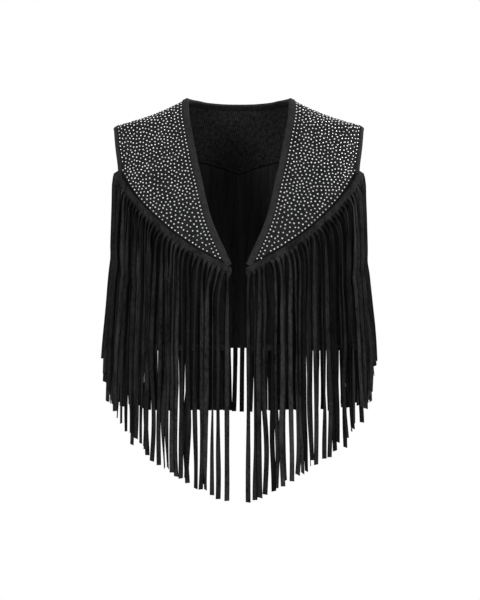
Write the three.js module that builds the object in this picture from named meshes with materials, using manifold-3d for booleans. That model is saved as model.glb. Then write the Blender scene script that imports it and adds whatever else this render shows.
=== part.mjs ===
// A fringe vest in black faux suede, worn and hollow, in millimetres with +Z up and the front facing -Y.
// The origin is in the middle of the shoulders, at mid depth and half way down the slope of the shoulder seams.
import * as THREE from "three";
import { mergeVertices } from "three/addons/utils/BufferGeometryUtils.js";
import Module from "manifold-3d";

const wasm = await Module();
wasm.setup();

// Cloth and gaps
const CLOTH = 1.6;
const SEAM_GAP = 0.4;
const BINDING_CLOTH = 1.2;
const BINDING_WIDTH = 8;
const BINDING_GAP = 0.9;
const BINDING_INNER_GAP = 1.1;
const BINDING_MARGIN = 8.3;

// Lengths and levels of the cut
const HEM_Z = -378;
const FRONT_OPENING_HALF = 14;
const STRIP_WIDTH = 10;
const STRIP_CLOTH = 1.6;
const STRIP_LIFT = 2.4;
const STRIP_OVER_BINDING = 4.8;

// Long fringe on each front
const LONG_STRANDS = 32;
const LONG_WIDTH = 6.4;
const LONG_CLOTH = 1.1;
const LONG_LAYERS = [4.6, 7, 9.4];
const LONG_UNEVEN = 5;

// Short fringe round the hem
const HEM_PITCH = 11;
const HEM_STRAND_WIDTH = 6.4;
const HEM_UNEVEN = 1.5;

// Counts of steps
const ARMHOLE_STEPS = 16;
const PANEL_ARMHOLE_STEPS = 7;
const YOKE_ARMHOLE_STEPS = 6;
const SEAM_STEPS = 13;
const PANEL_COLUMNS = 8;
const NECK_BACK_STEPS = 7;
const SHOULDER_STEPS = 6;
const SIDE_ROWS = 4;
const YOKE_SEAM_STEPS = NECK_BACK_STEPS + SHOULDER_STEPS;

// Horizontal sections of the figure that the vest is cut for: half width, depth in front and depth behind.
// Above the shoulder tips the half width is that of the shoulder slope.
const ROUNDNESS = 2.4;
const SECTIONS = [
  { z: 34, half: 58, front: 18, back: 58 },
  { z: 22, half: 82, front: 31, back: 68 },
  { z: 11, half: 104, front: 41, back: 76 },
  { z: 1.6, half: 125, front: 48, back: 81 },
  { z: -8, half: 150, front: 55, back: 86 },
  { z: -16, half: 176, front: 60, back: 89 },
  { z: -21, half: 192, front: 63, back: 91 },
  { z: -26, half: 198, front: 66, back: 92 },
  { z: -60, half: 203, front: 84, back: 100 },
  { z: -100, half: 203.5, front: 100, back: 105 },
  { z: -150, half: 200.5, front: 113, back: 105 },
  { z: -215, half: 199, front: 120, back: 101 },
  { z: -300, half: 203, front: 120, back: 98 },
  { z: -378, half: 208, front: 121, back: 102 },
  { z: -700, half: 216, front: 122, back: 104 },
];

// Front neck edge, from the shoulder down to the tip of the V.
const NECK_EDGE = [
  { z: 22, x: 82 },
  { z: -4, x: 80.5 },
  { z: -30, x: 76 },
  { z: -58, x: 70.5 },
  { z: -86, x: 65 },
  { z: -111, x: 59 },
  { z: -142, x: 52.5 },
  { z: -171, x: 45 },
  { z: -193, x: 36.5 },
  { z: -220, x: 24 },
  { z: -244, x: 13 },
];

// Back neck edge: the angle goes round from the side (90) to the middle of the back (180).
const BACK_NECK = [
  { angle: 90, z: 22 },
  { angle: 108, z: 22.2 },
  { angle: 125, z: 21.4 },
  { angle: 141, z: 19.1 },
  { angle: 161, z: 17.4 },
  { angle: 180, z: 17 },
];

// Curved seam between the studded panel and the lower front, from the V to the armhole.
const CURVED_SEAM = [
  { x: 10.5, z: -248 },
  { x: 36, z: -234 },
  { x: 62, z: -220.5 },
  { x: 82, z: -207.5 },
  { x: 103, z: -192.5 },
  { x: 115, z: -182.5 },
  { x: 128, z: -170.5 },
  { x: 142, z: -157 },
  { x: 155, z: -143 },
  { x: 168, z: -125.5 },
  { x: 180, z: -105.5 },
];

// Pointed seam of the back yoke.
const YOKE_SEAM = [
  { x: 0, z: -93 },
  { x: 10, z: -90 },
  { x: 28, z: -83.6 },
  { x: 48, z: -78 },
  { x: 68, z: -73 },
  { x: 92, z: -69 },
  { x: 125, z: -66 },
  { x: 160, z: -64.5 },
];

// Armhole from the shoulder tip down to the underarm: distance in front of and behind the seams.
const ARMHOLE_MIDDLE_Z = -125;
const ARMHOLE = [
  { z: -24, front: 0, back: 0 },
  { z: -28, front: 12, back: 13 },
  { z: -40, front: 23, back: 26 },
  { z: -60, front: 33, back: 38 },
  { z: -95, front: 46, back: 53 },
  { z: -135, front: 52, back: 60 },
  { z: -170, front: 47, back: 55 },
  { z: -195, front: 34, back: 41 },
  { z: -210, front: 17, back: 20 },
  { z: -215, front: 0, back: 0 },
];

// How the long strands hang, against the place along the curved seam, 0 at the V and 1 at the armhole: their
// length, the length over which they turn down, and how far they flare outwards for each unit of length.
const HANG = [
  { along: 0, length: 352, turn: 8, flare: -0.006 },
  { along: 0.15, length: 356, turn: 11, flare: 0.002 },
  { along: 0.5, length: 351, turn: 13, flare: 0.01 },
  { along: 0.8, length: 357, turn: 11, flare: 0.018 },
  { along: 0.9, length: 352, turn: 8, flare: 0.022 },
  { along: 0.96, length: 332, turn: 6, flare: 0.024 },
  { along: 1, length: 292, turn: 5, flare: 0.026 },
];

// Length of the hem's strands against the angle round the figure, from the front (0) to the back (180).
const HEM_LENGTHS = [
  { angle: 0, length: 93 },
  { angle: 55, length: 92 },
  { angle: 90, length: 82 },
  { angle: 125, length: 98 },
  { angle: 180, length: 104 },
];

// Colours
const SUEDE = { color: 0x1c1c1d, roughness: 0.92, metalness: 0 };
const PANEL_SUEDE = { color: 0x242425, roughness: 0.9, metalness: 0 };
const BINDING_SUEDE = { color: 0x2c2c2d, roughness: 0.88, metalness: 0 };
const FRINGE_SUEDE = { color: 0x1f1f20, roughness: 0.93, metalness: 0 };

const lerp = THREE.MathUtils.lerp;
const degrees = THREE.MathUtils.degToRad;

// Reads a column of a table at a key, on a smooth curve that doesn't overshoot its rows.
function read(rows, key, column, at) {
  const up = rows[rows.length - 1][key] > rows[0][key] ? 1 : -1;
  const last = rows.length - 1;
  const slope = (i) =>
    (rows[i + 1][column] - rows[i][column]) / (rows[i + 1][key] - rows[i][key]);
  const tangent = (i) => {
    if (i === 0) return slope(0);
    if (i === last) return slope(last - 1);
    const before = slope(i - 1);
    const after = slope(i);
    return before * after <= 0 ? 0 : (2 * before * after) / (before + after);
  };
  let i = 0;
  while (i < last - 1 && (at - rows[i + 1][key]) * up > 0) i++;
  const span = rows[i + 1][key] - rows[i][key];
  const t = THREE.MathUtils.clamp((at - rows[i][key]) / span, 0, 1);
  const t2 = t * t;
  const t3 = t2 * t;
  return (
    (2 * t3 - 3 * t2 + 1) * rows[i][column] +
    (t3 - 2 * t2 + t) * span * tangent(i) +
    (3 * t2 - 2 * t3) * rows[i + 1][column] +
    (t3 - t2) * span * tangent(i + 1)
  );
}

const half = (z) => read(SECTIONS, "z", "half", z);
const depth = (z, side) => read(SECTIONS, "z", side, z);

// Distance from the middle of a section to its edge at an angle: 0 in front, 90 at the side, 180 behind.
function reach(angle, z) {
  const across = Math.abs(Math.sin(angle)) / half(z);
  const along = Math.abs(Math.cos(angle)) / depth(z, Math.cos(angle) > 0 ? "front" : "back");
  return (across ** ROUNDNESS + along ** ROUNDNESS) ** (-1 / ROUNDNESS);
}

function onSection(angle, z) {
  const r = reach(angle, z);
  return new THREE.Vector3(r * Math.sin(angle), -r * Math.cos(angle), z);
}

// A place on the figure's right half, with its outward normal. The front and back cloths part at the seams.
function place(angle, z, side) {
  const point = onSection(angle, z);
  const round = onSection(angle + 0.004, z).sub(onSection(angle - 0.004, z));
  const rise = onSection(angle, z + 0.3).sub(onSection(angle, z - 0.3));
  const normal = round.cross(rise).normalize();
  point.y += side === "front" ? -SEAM_GAP / 2 : SEAM_GAP / 2;
  return { angle, point, normal };
}

// The other axis of a section, from one of them.
const otherAxis = (value, own, other) =>
  other * Math.max(0, 1 - (Math.abs(value) / own) ** ROUNDNESS) ** (1 / ROUNDNESS);

function angleAtX(x, z, side) {
  const y = otherAxis(x, half(z), depth(z, side));
  return side === "front" ? Math.atan2(x, y) : Math.PI - Math.atan2(x, y);
}

function angleAtY(y, z, side) {
  const x = otherAxis(y, depth(z, side), half(z));
  return side === "front" ? Math.atan2(x, y) : Math.PI - Math.atan2(x, y);
}

const flat = (x, z) => new THREE.Vector2(x, z);
const steps = (count) => Array.from({ length: count + 1 }, (_, i) => i / count);

// Points on a smooth curve through points of a plane: even, or closer at its start with a spread over 1.
function spaced(points, count, spread = 1) {
  const curve = new THREE.SplineCurve(points);
  curve.arcLengthDivisions = 2000;
  return steps(count).map((t) => curve.getPointAt(t ** spread));
}

// Armhole edge from the shoulder tip to the underarm, as angle and height, closer set where it turns at the tip.
const TIP_SPREAD = 1.25;

function armhole(side) {
  const points = ARMHOLE.map((row) => flat(row[side], row.z));
  return spaced(points, ARMHOLE_STEPS, TIP_SPREAD).map((p, i) => {
    const end = i === 0 || i === ARMHOLE_STEPS;
    return { angle: end ? Math.PI / 2 : angleAtY(Math.max(p.x, 0), p.y, side), z: p.y };
  });
}

const ARMHOLE_FRONT = armhole("front");
const ARMHOLE_BACK = armhole("back");
const xOf = (edge) => onSection(edge.angle, edge.z).x;

// Seams in the x-z plane, from the middle of the vest to the armhole.
const panelCorner = ARMHOLE_FRONT[PANEL_ARMHOLE_STEPS];
const yokeCorner = ARMHOLE_BACK[YOKE_ARMHOLE_STEPS];
const curvedSeam = spaced(
  [...CURVED_SEAM.map((row) => flat(row.x, row.z)), flat(xOf(panelCorner), panelCorner.z)],
  SEAM_STEPS,
);
const yokeSeam = spaced(
  [...YOKE_SEAM.map((row) => flat(row.x, row.z)), flat(xOf(yokeCorner), yokeCorner.z)],
  YOKE_SEAM_STEPS,
);

// Moves a line of the x-z plane square to itself, up (positive) or down.
function moved(line, distance) {
  return line.map((p, i) => {
    const from = line[Math.max(i - 1, 0)];
    const to = line[Math.min(i + 1, line.length - 1)];
    const run = to.clone().sub(from).normalize();
    return flat(p.x - run.y * distance, p.y + run.x * distance);
  });
}

// Height of the shoulder line over a place across.
function shoulderHeight(x) {
  let low = -24;
  let high = 30;
  for (let i = 0; i < 40; i++) {
    const middle = (low + high) / 2;
    if (half(middle) > x) low = middle;
    else high = middle;
  }
  return (low + high) / 2;
}

// Splits the quads of a surface along their shorter diagonal, so that cloths which follow each other match.
function quadsOf(positions, index) {
  const corner = (i) => new THREE.Vector3().fromArray(positions, 3 * i);
  return (a, b, c, d) => {
    if (corner(a).distanceTo(corner(c)) <= corner(b).distanceTo(corner(d))) index.push(a, b, c, a, c, d);
    else index.push(b, c, d, b, d, a);
  };
}

// A closed shell between two skins of a grid of places: rows of { point, normal, lift }.
function shell(grid, thickness) {
  const rows = grid.length;
  const columns = grid[0].length;
  const positions = [];
  for (const offset of [thickness / 2, -thickness / 2])
    for (const row of grid)
      for (const { point, normal, lift = 0 } of row)
        positions.push(...point.clone().addScaledVector(normal, lift + offset).toArray());
  const at = (skin, r, c) => (skin * rows + r) * columns + c;
  const index = [];
  const quad = quadsOf(positions, index);
  for (let r = 0; r < rows - 1; r++)
    for (let c = 0; c < columns - 1; c++) {
      quad(at(0, r, c), at(0, r, c + 1), at(0, r + 1, c + 1), at(0, r + 1, c));
      quad(at(1, r, c), at(1, r + 1, c), at(1, r + 1, c + 1), at(1, r, c + 1));
    }
  for (let c = 0; c < columns - 1; c++) {
    quad(at(0, 0, c + 1), at(0, 0, c), at(1, 0, c), at(1, 0, c + 1));
    quad(at(0, rows - 1, c), at(0, rows - 1, c + 1), at(1, rows - 1, c + 1), at(1, rows - 1, c));
  }
  for (let r = 0; r < rows - 1; r++) {
    quad(at(0, r, 0), at(0, r + 1, 0), at(1, r + 1, 0), at(1, r, 0));
    quad(at(0, r + 1, columns - 1), at(0, r, columns - 1), at(1, r, columns - 1), at(1, r + 1, columns - 1));
  }
  return facingOut(positions, index);
}

// Sweeps a closed outline of corners, given at each station, with flat ends or joined into a loop.
function swept(outlines, capFaces, loop = false) {
  const corners = outlines[0].length;
  const positions = outlines.flat().flatMap((p) => p.toArray());
  const index = [];
  const quad = quadsOf(positions, index);
  const count = outlines.length;
  for (let i = 0; i < (loop ? count : count - 1); i++)
    for (let k = 0; k < corners; k++) {
      const here = i * corners;
      const next = ((i + 1) % count) * corners;
      const after = (k + 1) % corners;
      quad(here + k, here + after, next + after, next + k);
    }
  if (!loop) {
    const end = (count - 1) * corners;
    for (const [a, b, c] of capFaces) {
      index.push(a, c, b);
      index.push(end + a, end + b, end + c);
    }
  }
  return facingOut(positions, index);
}

// A geometry with its faces turned outwards.
function facingOut(positions, index) {
  const corner = (i) => new THREE.Vector3().fromArray(positions, 3 * i);
  let volume = 0;
  for (let i = 0; i < index.length; i += 3)
    volume += corner(index[i]).dot(corner(index[i + 1]).cross(corner(index[i + 2])));
  if (volume < 0) for (let i = 0; i < index.length; i += 3) [index[i], index[i + 1]] = [index[i + 1], index[i]];
  const geometry = new THREE.BufferGeometry();
  geometry.setAttribute("position", new THREE.Float32BufferAttribute(positions, 3));
  geometry.setIndex(index);
  return geometry;
}

// The same piece on the other side of the vest.
function mirrored(geometry) {
  const p = geometry.getAttribute("position");
  const positions = [];
  for (let i = 0; i < p.count; i++) positions.push(-p.getX(i), p.getY(i), p.getZ(i));
  return facingOut(positions, [...geometry.index.array]);
}

function solid(geometry) {
  const merged = mergeVertices(geometry, 1e-4);
  const triVerts = new Uint32Array(merged.index.array);
  return new wasm.Manifold(
    new wasm.Mesh({ numProp: 3, vertProperties: merged.getAttribute("position").array, triVerts }),
  );
}

// One geometry from pieces that run into each other.
function fused(geometries) {
  const joined = geometries.map(solid).reduce((all, piece) => all.add(piece));
  const mesh = joined.getMesh();
  const geometry = new THREE.BufferGeometry();
  geometry.setAttribute("position", new THREE.BufferAttribute(mesh.vertProperties, 3));
  geometry.setIndex(new THREE.BufferAttribute(mesh.triVerts, 1));
  return geometry;
}

// A line of points as a function of 0 to 1, a step for each point.
function along(points) {
  const last = points.length - 1;
  return (t) => {
    const i = Math.min(Math.floor(t * last + 1e-9), last - 1);
    return points[i].clone().lerp(points[i + 1], t * last - i);
  };
}

// The flat patch between four edges.
function patch({ top, bottom, inner, outer }) {
  const mix = (a, b, t) => a.lerp(b, t);
  return (u, v) => {
    const corners = mix(mix(top(0), top(1), u), mix(bottom(0), bottom(1), u), v);
    return mix(top(u), bottom(u), v).add(mix(inner(v), outer(v), u)).sub(corners);
  };
}

// Puts a point of the x-z plane on the figure, in front or behind.
const onFigure = (side) => (p) => place(angleAtX(Math.max(p.x, 0), p.y, side), p.y, side);

// The share of a patch's side that a distance in from an edge takes, measured over a short part of the cloth.
const SHORT = 0.02;
const shareOf = (distance, edge, near) => (distance * SHORT) / edge.point.distanceTo(near.point);

// Neck edge of the front panel, closer set near the shoulder, where the cloth turns over.
const PANEL_ROWS = PANEL_ARMHOLE_STEPS + SEAM_STEPS;
const NECK_SPREAD = 1.35;
const neckEdge = steps(PANEL_ROWS).map((t) => {
  const z = lerp(NECK_EDGE[0].z, NECK_EDGE[NECK_EDGE.length - 1].z, t ** NECK_SPREAD);
  return flat(read(NECK_EDGE, "z", "x", z), z);
});

const flatOf = (edge) => flat(xOf(edge), edge.z);

// The shoulder line, from the neck (0) to the shoulder tip (1).
function onShoulder(u) {
  const x = lerp(half(NECK_EDGE[0].z), half(ARMHOLE[0].z), u);
  return flat(x, shoulderHeight(x));
}

// The panel's rows run from the neck edge to the armhole and then to the curved seam. The second place of each
// row is as far in as the binding reaches, and so is the last but one along the armhole.
const TIP_SHARE = 0.45;
const NARROWEST_MARGIN = 0.7;

function panelGrid() {
  const seam = moved(curvedSeam, SEAM_GAP / 2).reverse();
  seam[SEAM_STEPS].lerp(seam[SEAM_STEPS - 1], TIP_SHARE);
  const outer = [...ARMHOLE_FRONT.slice(0, PANEL_ARMHOLE_STEPS).map(flatOf), ...seam];
  const spread = patch({
    top: onShoulder,
    bottom: along([neckEdge[PANEL_ROWS], seam[SEAM_STEPS]]),
    inner: along(neckEdge),
    outer: along(outer),
  });
  const at = (u, v) => onFigure("front")(spread(u, v));
  return steps(PANEL_ROWS).map((v, j) => {
    const first = Math.min(shareOf(BINDING_MARGIN, at(0, v), at(SHORT, v)), NARROWEST_MARGIN);
    const evenStep = (1 - first) / (PANEL_COLUMNS - 1);
    const byArmhole = j <= PANEL_ARMHOLE_STEPS;
    const last = byArmhole ? shareOf(BINDING_MARGIN, at(1, v), at(1 - SHORT, v)) : evenStep;
    const between = steps(PANEL_COLUMNS - 2).map((t) => lerp(first, 1 - last, t));
    return [0, ...between, 1].map((u) => at(u, v));
  });
}

// Angle on the hem at the front opening.
const openingAngle = angleAtX(FRONT_OPENING_HALF, HEM_Z, "front");

// A body is a patch in angle and height: down from its upper seam, with the armhole and then the side seam on
// its outer edge, and with the last row but one at the top of the hem's strip.
function bodyGrid({ seam, armholeEdge, middle, side }) {
  const top = seam.map((p) => flat(angleAtX(Math.max(p.x, 0), p.y, side), p.y));
  const stripTop = HEM_Z + STRIP_WIDTH;
  const underarm = armholeEdge.at(-1);
  const sideSeam = steps(SIDE_ROWS).slice(1).map((t) => flat(Math.PI / 2, lerp(underarm.z, stripTop, t)));
  const outer = [top.at(-1), ...armholeEdge.map(({ angle, z }) => flat(angle, z)), ...sideSeam];
  const rows = outer.length - 1;
  const inner = steps(rows).map((t) => flat(middle, lerp(top[0].y, stripTop, t)));
  inner[0] = top[0];
  const bottom = evenAngles(middle, Math.PI / 2, top.length - 1).map((angle) => flat(angle, stripTop));
  const spread = patch({ top: along(top), bottom: along(bottom), inner: along(inner), outer: along(outer) });
  const grid = steps(rows).map((v) => top.map((_, i) => spread(i / (top.length - 1), v)));
  const hem = bottom.map((p) => flat(p.x, HEM_Z));
  return [...grid, hem].map((row) => row.map((p) => place(p.x, p.y, side)));
}

function frontBodyGrid() {
  const seam = moved(curvedSeam, -SEAM_GAP / 2);
  seam[0] = flat(FRONT_OPENING_HALF, curvedSeam[0].y - SEAM_GAP);
  seam[SEAM_STEPS] = flat(xOf(panelCorner), panelCorner.z - 2 * SEAM_GAP);
  const armholeEdge = ARMHOLE_FRONT.slice(PANEL_ARMHOLE_STEPS + 1);
  return bodyGrid({ seam, armholeEdge, middle: openingAngle, side: "front" });
}

const mirroredPlace = ({ point, normal }) => ({
  point: point.clone().setX(-point.x),
  normal: normal.clone().setX(-normal.x),
});

// A half grid, from the middle of the back outwards, with its mirror image beside it.
const acrossBack = (grid) => grid.map((row) => [...row.slice(1).reverse().map(mirroredPlace), ...row]);

const NECK_COLUMN_ROWS = [0, 0.09, 0.25, 0.43, 0.62, 0.81, 1];
const SHOULDER_COLUMN_ROWS = [0, 0.04, 0.13, 0.28, 0.48, 0.73, 1];

// The yoke's columns run down from the back neck and the shoulder. The second row is as far down as the neck
// binding reaches, and the last column but one as far in as the armhole binding.
function yokeGrid() {
  const neck = steps(NECK_BACK_STEPS).map((u) => {
    const angle = lerp(180, 90, u);
    const z = read(BACK_NECK, "angle", "z", angle);
    return flat(onSection(degrees(angle), z).x, z);
  });
  const neckShare = NECK_BACK_STEPS / YOKE_SEAM_STEPS;
  const onNeck = along(neck);
  const top = (u) => (u < neckShare ? onNeck(u / neckShare) : onShoulder((u - neckShare) / (1 - neckShare)));
  const bottom = moved(yokeSeam, SEAM_GAP / 2);
  bottom[0].x = 0;
  const outer = ARMHOLE_BACK.slice(0, YOKE_ARMHOLE_STEPS + 1).map(flatOf);
  outer[YOKE_ARMHOLE_STEPS] = bottom[YOKE_SEAM_STEPS];
  const spread = patch({
    top,
    bottom: along(bottom),
    inner: along([neck[0], bottom[0]]),
    outer: along(outer),
  });
  const at = (u, v) => onFigure("back")(spread(u, v));
  return steps(YOKE_ARMHOLE_STEPS).map((even, j) => {
    const cells = steps(YOKE_SEAM_STEPS).map((u, i) => {
      if (i === YOKE_SEAM_STEPS) return at(1, even);
      const column = i > NECK_BACK_STEPS ? SHOULDER_COLUMN_ROWS : NECK_COLUMN_ROWS;
      const margin = shareOf(BINDING_MARGIN, at(u, 0), at(u, SHORT));
      return at(u, j === 1 && i <= NECK_BACK_STEPS ? margin : column[j]);
    });
    const margin = shareOf(BINDING_MARGIN, at(1, even), at(1 - SHORT, even));
    cells.splice(YOKE_SEAM_STEPS, 0, at(1 - margin, even));
    return cells;
  });
}

function backBodyGrid() {
  const seam = moved(yokeSeam, -SEAM_GAP / 2);
  seam[0].x = 0;
  const armholeEdge = ARMHOLE_BACK.slice(YOKE_ARMHOLE_STEPS + 1);
  return bodyGrid({ seam, armholeEdge, middle: Math.PI, side: "back" });
}

// A binding folded over an edge. Each station has a place on the edge and one as far in as the binding
// reaches, and the binding is made from both, moved out and in.
const BINDING_CAPS = [
  [0, 1, 2],
  [0, 2, 7],
  [7, 2, 3],
  [7, 3, 6],
  [6, 3, 4],
  [6, 4, 5],
];

function binding(stations, loop = false) {
  const low = CLOTH / 2 + BINDING_GAP;
  const high = low + BINDING_CLOTH;
  const innerLow = CLOTH / 2 + BINDING_INNER_GAP;
  const innerHigh = innerLow + BINDING_CLOTH;
  const outlines = stations.map(({ edge, inner }) => {
    const share = BINDING_WIDTH / BINDING_MARGIN;
    const into = inner.point.clone().sub(edge.point).normalize();
    const from = (station, m, n) =>
      station.point.clone().addScaledVector(into, m).addScaledVector(station.normal, n);
    const reachIn = inner.point.distanceTo(edge.point) * (share - 1);
    const fold = -BINDING_GAP;
    const outside = fold - BINDING_CLOTH;
    return [
      from(inner, reachIn, low),
      from(inner, reachIn, high),
      from(edge, outside, high),
      from(edge, outside, -innerHigh),
      from(inner, reachIn, -innerHigh),
      from(inner, reachIn, -innerLow),
      from(edge, fold, -innerLow),
      from(edge, fold, low),
    ];
  });
  return swept(outlines, BINDING_CAPS, loop);
}

function neckBinding(panel, yoke) {
  const front = panel.map(([edge, inner]) => ({ edge, inner })).reverse();
  const back = steps(NECK_BACK_STEPS - 1)
    .map((_, i) => ({ edge: yoke[0][i], inner: yoke[1][i] }))
    .reverse();
  const right = [...front, ...back];
  const left = right
    .slice(0, -1)
    .reverse()
    .map(({ edge, inner }) => ({ edge: mirroredPlace(edge), inner: mirroredPlace(inner) }));
  return binding([...right, ...left]);
}

// A place on the figure beside another, square to the edge between its neighbours.
function besideEdge(edges, i, side) {
  const here = place(edges[i].angle, edges[i].z, side);
  const before = edges[(i + edges.length - 1) % edges.length];
  const after = edges[(i + 1) % edges.length];
  const run = onSection(after.angle, after.z).sub(onSection(before.angle, before.z));
  const into = run.cross(here.normal).normalize();
  const middle = new THREE.Vector3(here.point.x, 0, ARMHOLE_MIDDLE_Z);
  if (into.dot(here.point.clone().sub(middle)) < 0) into.negate();
  const p = here.point.clone().addScaledVector(into, BINDING_MARGIN);
  return place(Math.atan2(p.x, -p.y), p.z, side);
}

function armholeBinding(panel, yoke) {
  const edges = [...ARMHOLE_FRONT, ...ARMHOLE_BACK.slice(1, -1).reverse()];
  const count = edges.length;
  const stations = edges.map((edge, i) => {
    const fromTip = count - i;
    if (i < PANEL_ARMHOLE_STEPS) return { edge: panel[i].at(-1), inner: panel[i].at(-2) };
    if (fromTip < YOKE_ARMHOLE_STEPS) return { edge: yoke[fromTip].at(-1), inner: yoke[fromTip].at(-2) };
    const side = i > ARMHOLE_STEPS ? "back" : "front";
    return { edge: place(edge.angle, edge.z, side), inner: besideEdge(edges, i, side) };
  });
  return binding(stations, true);
}

// A flat strand through stations of { point, normal, across }, with the same width all along.
const STRAND_CAPS = [
  [0, 1, 2],
  [0, 2, 3],
];

function strand(stations, width, thickness) {
  const outlines = stations.map(({ point, normal, across }) =>
    [
      [-1, -1],
      [1, -1],
      [1, 1],
      [-1, 1],
    ].map(([a, n]) =>
      point
        .clone()
        .addScaledVector(across, (a * width) / 2)
        .addScaledVector(normal, (n * thickness) / 2),
    ),
  );
  return swept(outlines, STRAND_CAPS);
}

// A number between -1 and 1 that looks free but is the same every time.
function uneven(seed) {
  const wave = Math.sin(seed * 12.9898 + 4.1) * 43758.5453;
  return 2 * (wave - Math.floor(wave)) - 1;
}

// Length of a step along a section, as an angle.
const angleFor = (distance, angle, z) => distance / reach(angle, z);

// How far the strip lies off the cloth: more at the armhole, where it crosses the binding.
const stripLift = (share) =>
  lerp(STRIP_LIFT, STRIP_OVER_BINDING, THREE.MathUtils.smoothstep(share, 0.76, 0.88));

// A line of the strip at a distance below the curved seam, cut off at the front opening and at the armhole.
const STRIP_START = FRONT_OPENING_HALF - 3;
const STRIP_END = 0.35;

function stripLine(distance) {
  const line = moved(curvedSeam, -distance);
  const run = line[1].clone().sub(line[0]);
  line[0].addScaledVector(run, (STRIP_START - line[0].x) / run.x);
  line[SEAM_STEPS].lerp(line[SEAM_STEPS - 1], STRIP_END);
  return line;
}

function longStrip() {
  const rows = [stripLine(SEAM_GAP), stripLine(STRIP_WIDTH)].map((line) =>
    line.map((p, i) => ({ ...onFigure("front")(p), lift: stripLift(i / SEAM_STEPS) })),
  );
  return shell(rows, STRIP_CLOTH);
}

const STRAND_DISTANCES = [-4, 5, 15, 30, 100, 230];
const SETTLE = 14;

// One long strand: it leaves the strip square to it, turns down within a short way and hangs.
function longStrand(index, side) {
  const share = (index + 0.5) / LONG_STRANDS;
  const seam = new THREE.SplineCurve(stripLine(STRIP_WIDTH));
  const root = seam.getPointAt(share);
  const run = seam.getTangentAt(share);
  const layer = LONG_LAYERS[index % LONG_LAYERS.length];
  const hang = (column) => read(HANG, "along", column, share);
  const length = hang("length") + LONG_UNEVEN * uneven(index + 40 * side);
  const turn = hang("turn");
  const flare = hang("flare");
  const start = onFigure("front")(root);
  // Slope of the strip on the cloth, seen square on.
  const before = onFigure("front")(root.clone().sub(run));
  const rise = run.y / before.point.distanceTo(start.point);
  const outward = Math.min(1, Math.max(0, rise));
  const down = Math.sqrt(1 - outward ** 2);
  const stations = [...STRAND_DISTANCES, length].map((s) => {
    const turned = turn * (1 - Math.exp(-Math.max(s, 0) / turn));
    const sideways = s < 0 ? s * outward : turned * outward + flare * s;
    const drop = s < 0 ? s * down : turned * down + (s - turned);
    const z = root.y - drop;
    const angle = start.angle + angleFor(sideways, start.angle, z);
    const settled = THREE.MathUtils.smoothstep(s, 0, SETTLE);
    const at = place(angle, z, "front");
    const offset = lerp(stripLift(share), layer, settled);
    const heading = new THREE.Vector3(0, 0, -1);
    const level = new THREE.Vector3(at.normal.x, at.normal.y, 0).normalize();
    const normal = at.normal.clone().lerp(level, settled).normalize();
    const lean = Math.exp(-Math.max(s, 0) / turn);
    const sidewaysWay = new THREE.Vector3(-level.y, level.x, 0);
    heading.multiplyScalar(1 - lean + lean * down).addScaledVector(sidewaysWay, lean * outward);
    const across = heading.clone().cross(normal).normalize();
    return { point: at.point.clone().addScaledVector(normal, offset), normal, across };
  });
  hangClear(stations);
  return strand(stations, LONG_WIDTH, LONG_CLOTH);
}

// Under the fullest part of the chest a strand hangs straight down and doesn't follow the cloth inwards.
function hangClear(stations) {
  stations.forEach(({ point }, i) => {
    if (i > 3) point.y = Math.min(point.y, stations[i - 1].point.y);
  });
}

function longFringe(side) {
  const strands = steps(LONG_STRANDS - 1).map((_, i) => longStrand(i, side));
  return fused([longStrip(), ...strands]);
}

// Short fringe between two angles of the hem. Its strip is made from the last two rows of the cloth.
const HEM_LIFT = 2.1;
const HEM_DISTANCES = [-4, 12];

function hemFringe(grid, from, to, seed) {
  const strip = grid.slice(-2).map((row) => row.map((cell) => ({ ...cell, lift: HEM_LIFT })));
  const arc = grid.at(-1);
  const run = arc.slice(1).reduce((sum, cell, i) => sum + cell.point.distanceTo(arc[i].point), 0);
  const count = Math.floor(run / HEM_PITCH);
  const strands = evenAngles(from, to, 2 * count)
    .filter((_, i) => i % 2)
    .map((angle, i) => {
      const at = place(angle, HEM_Z, angle > Math.PI / 2 ? "back" : "front");
      const normal = new THREE.Vector3(at.normal.x, at.normal.y, 0).normalize();
      const across = new THREE.Vector3(0, 0, -1).cross(normal).normalize();
      const fromFront = THREE.MathUtils.radToDeg(Math.min(angle, 2 * Math.PI - angle));
      const end = read(HEM_LENGTHS, "angle", "length", fromFront) + HEM_UNEVEN * uneven(i + seed);
      const stations = [...HEM_DISTANCES, end].map((s) => ({
        point: at.point.clone().setZ(HEM_Z - s).addScaledVector(normal, HEM_LIFT),
        normal,
        across,
      }));
      return strand(stations, HEM_STRAND_WIDTH, LONG_CLOTH);
    });
  return fused([shell(strip, STRIP_CLOTH), ...strands]);
}

// Angles at even distances along the hem.
function evenAngles(from, to, count) {
  const fine = steps(600).map((u) => lerp(from, to, u));
  const points = fine.map((angle) => onSection(angle, HEM_Z));
  const run = [0];
  for (let i = 1; i < points.length; i++) run.push(run[i - 1] + points[i].distanceTo(points[i - 1]));
  const total = run[run.length - 1];
  return steps(count).map((u) => {
    const i = Math.max(1, run.findIndex((r) => r >= u * total - 1e-9));
    const t = (u * total - run[i - 1]) / (run[i] - run[i - 1]);
    return lerp(fine[i - 1], fine[i], t);
  });
}

const vest = new THREE.Group();

function addPiece(name, geometry, finish) {
  const mesh = new THREE.Mesh(geometry, new THREE.MeshStandardMaterial(finish));
  mesh.name = name;
  vest.add(mesh);
}

// A piece of the right half and its mirror image: the right half is at +X.
function addPair(name, geometry, finish) {
  addPiece(`${name}_right`, geometry, finish);
  addPiece(`${name}_left`, mirrored(geometry), finish);
}

const panel = panelGrid();
const frontBody = frontBodyGrid();
const yoke = yokeGrid();
const backBody = acrossBack(backBodyGrid());

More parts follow.
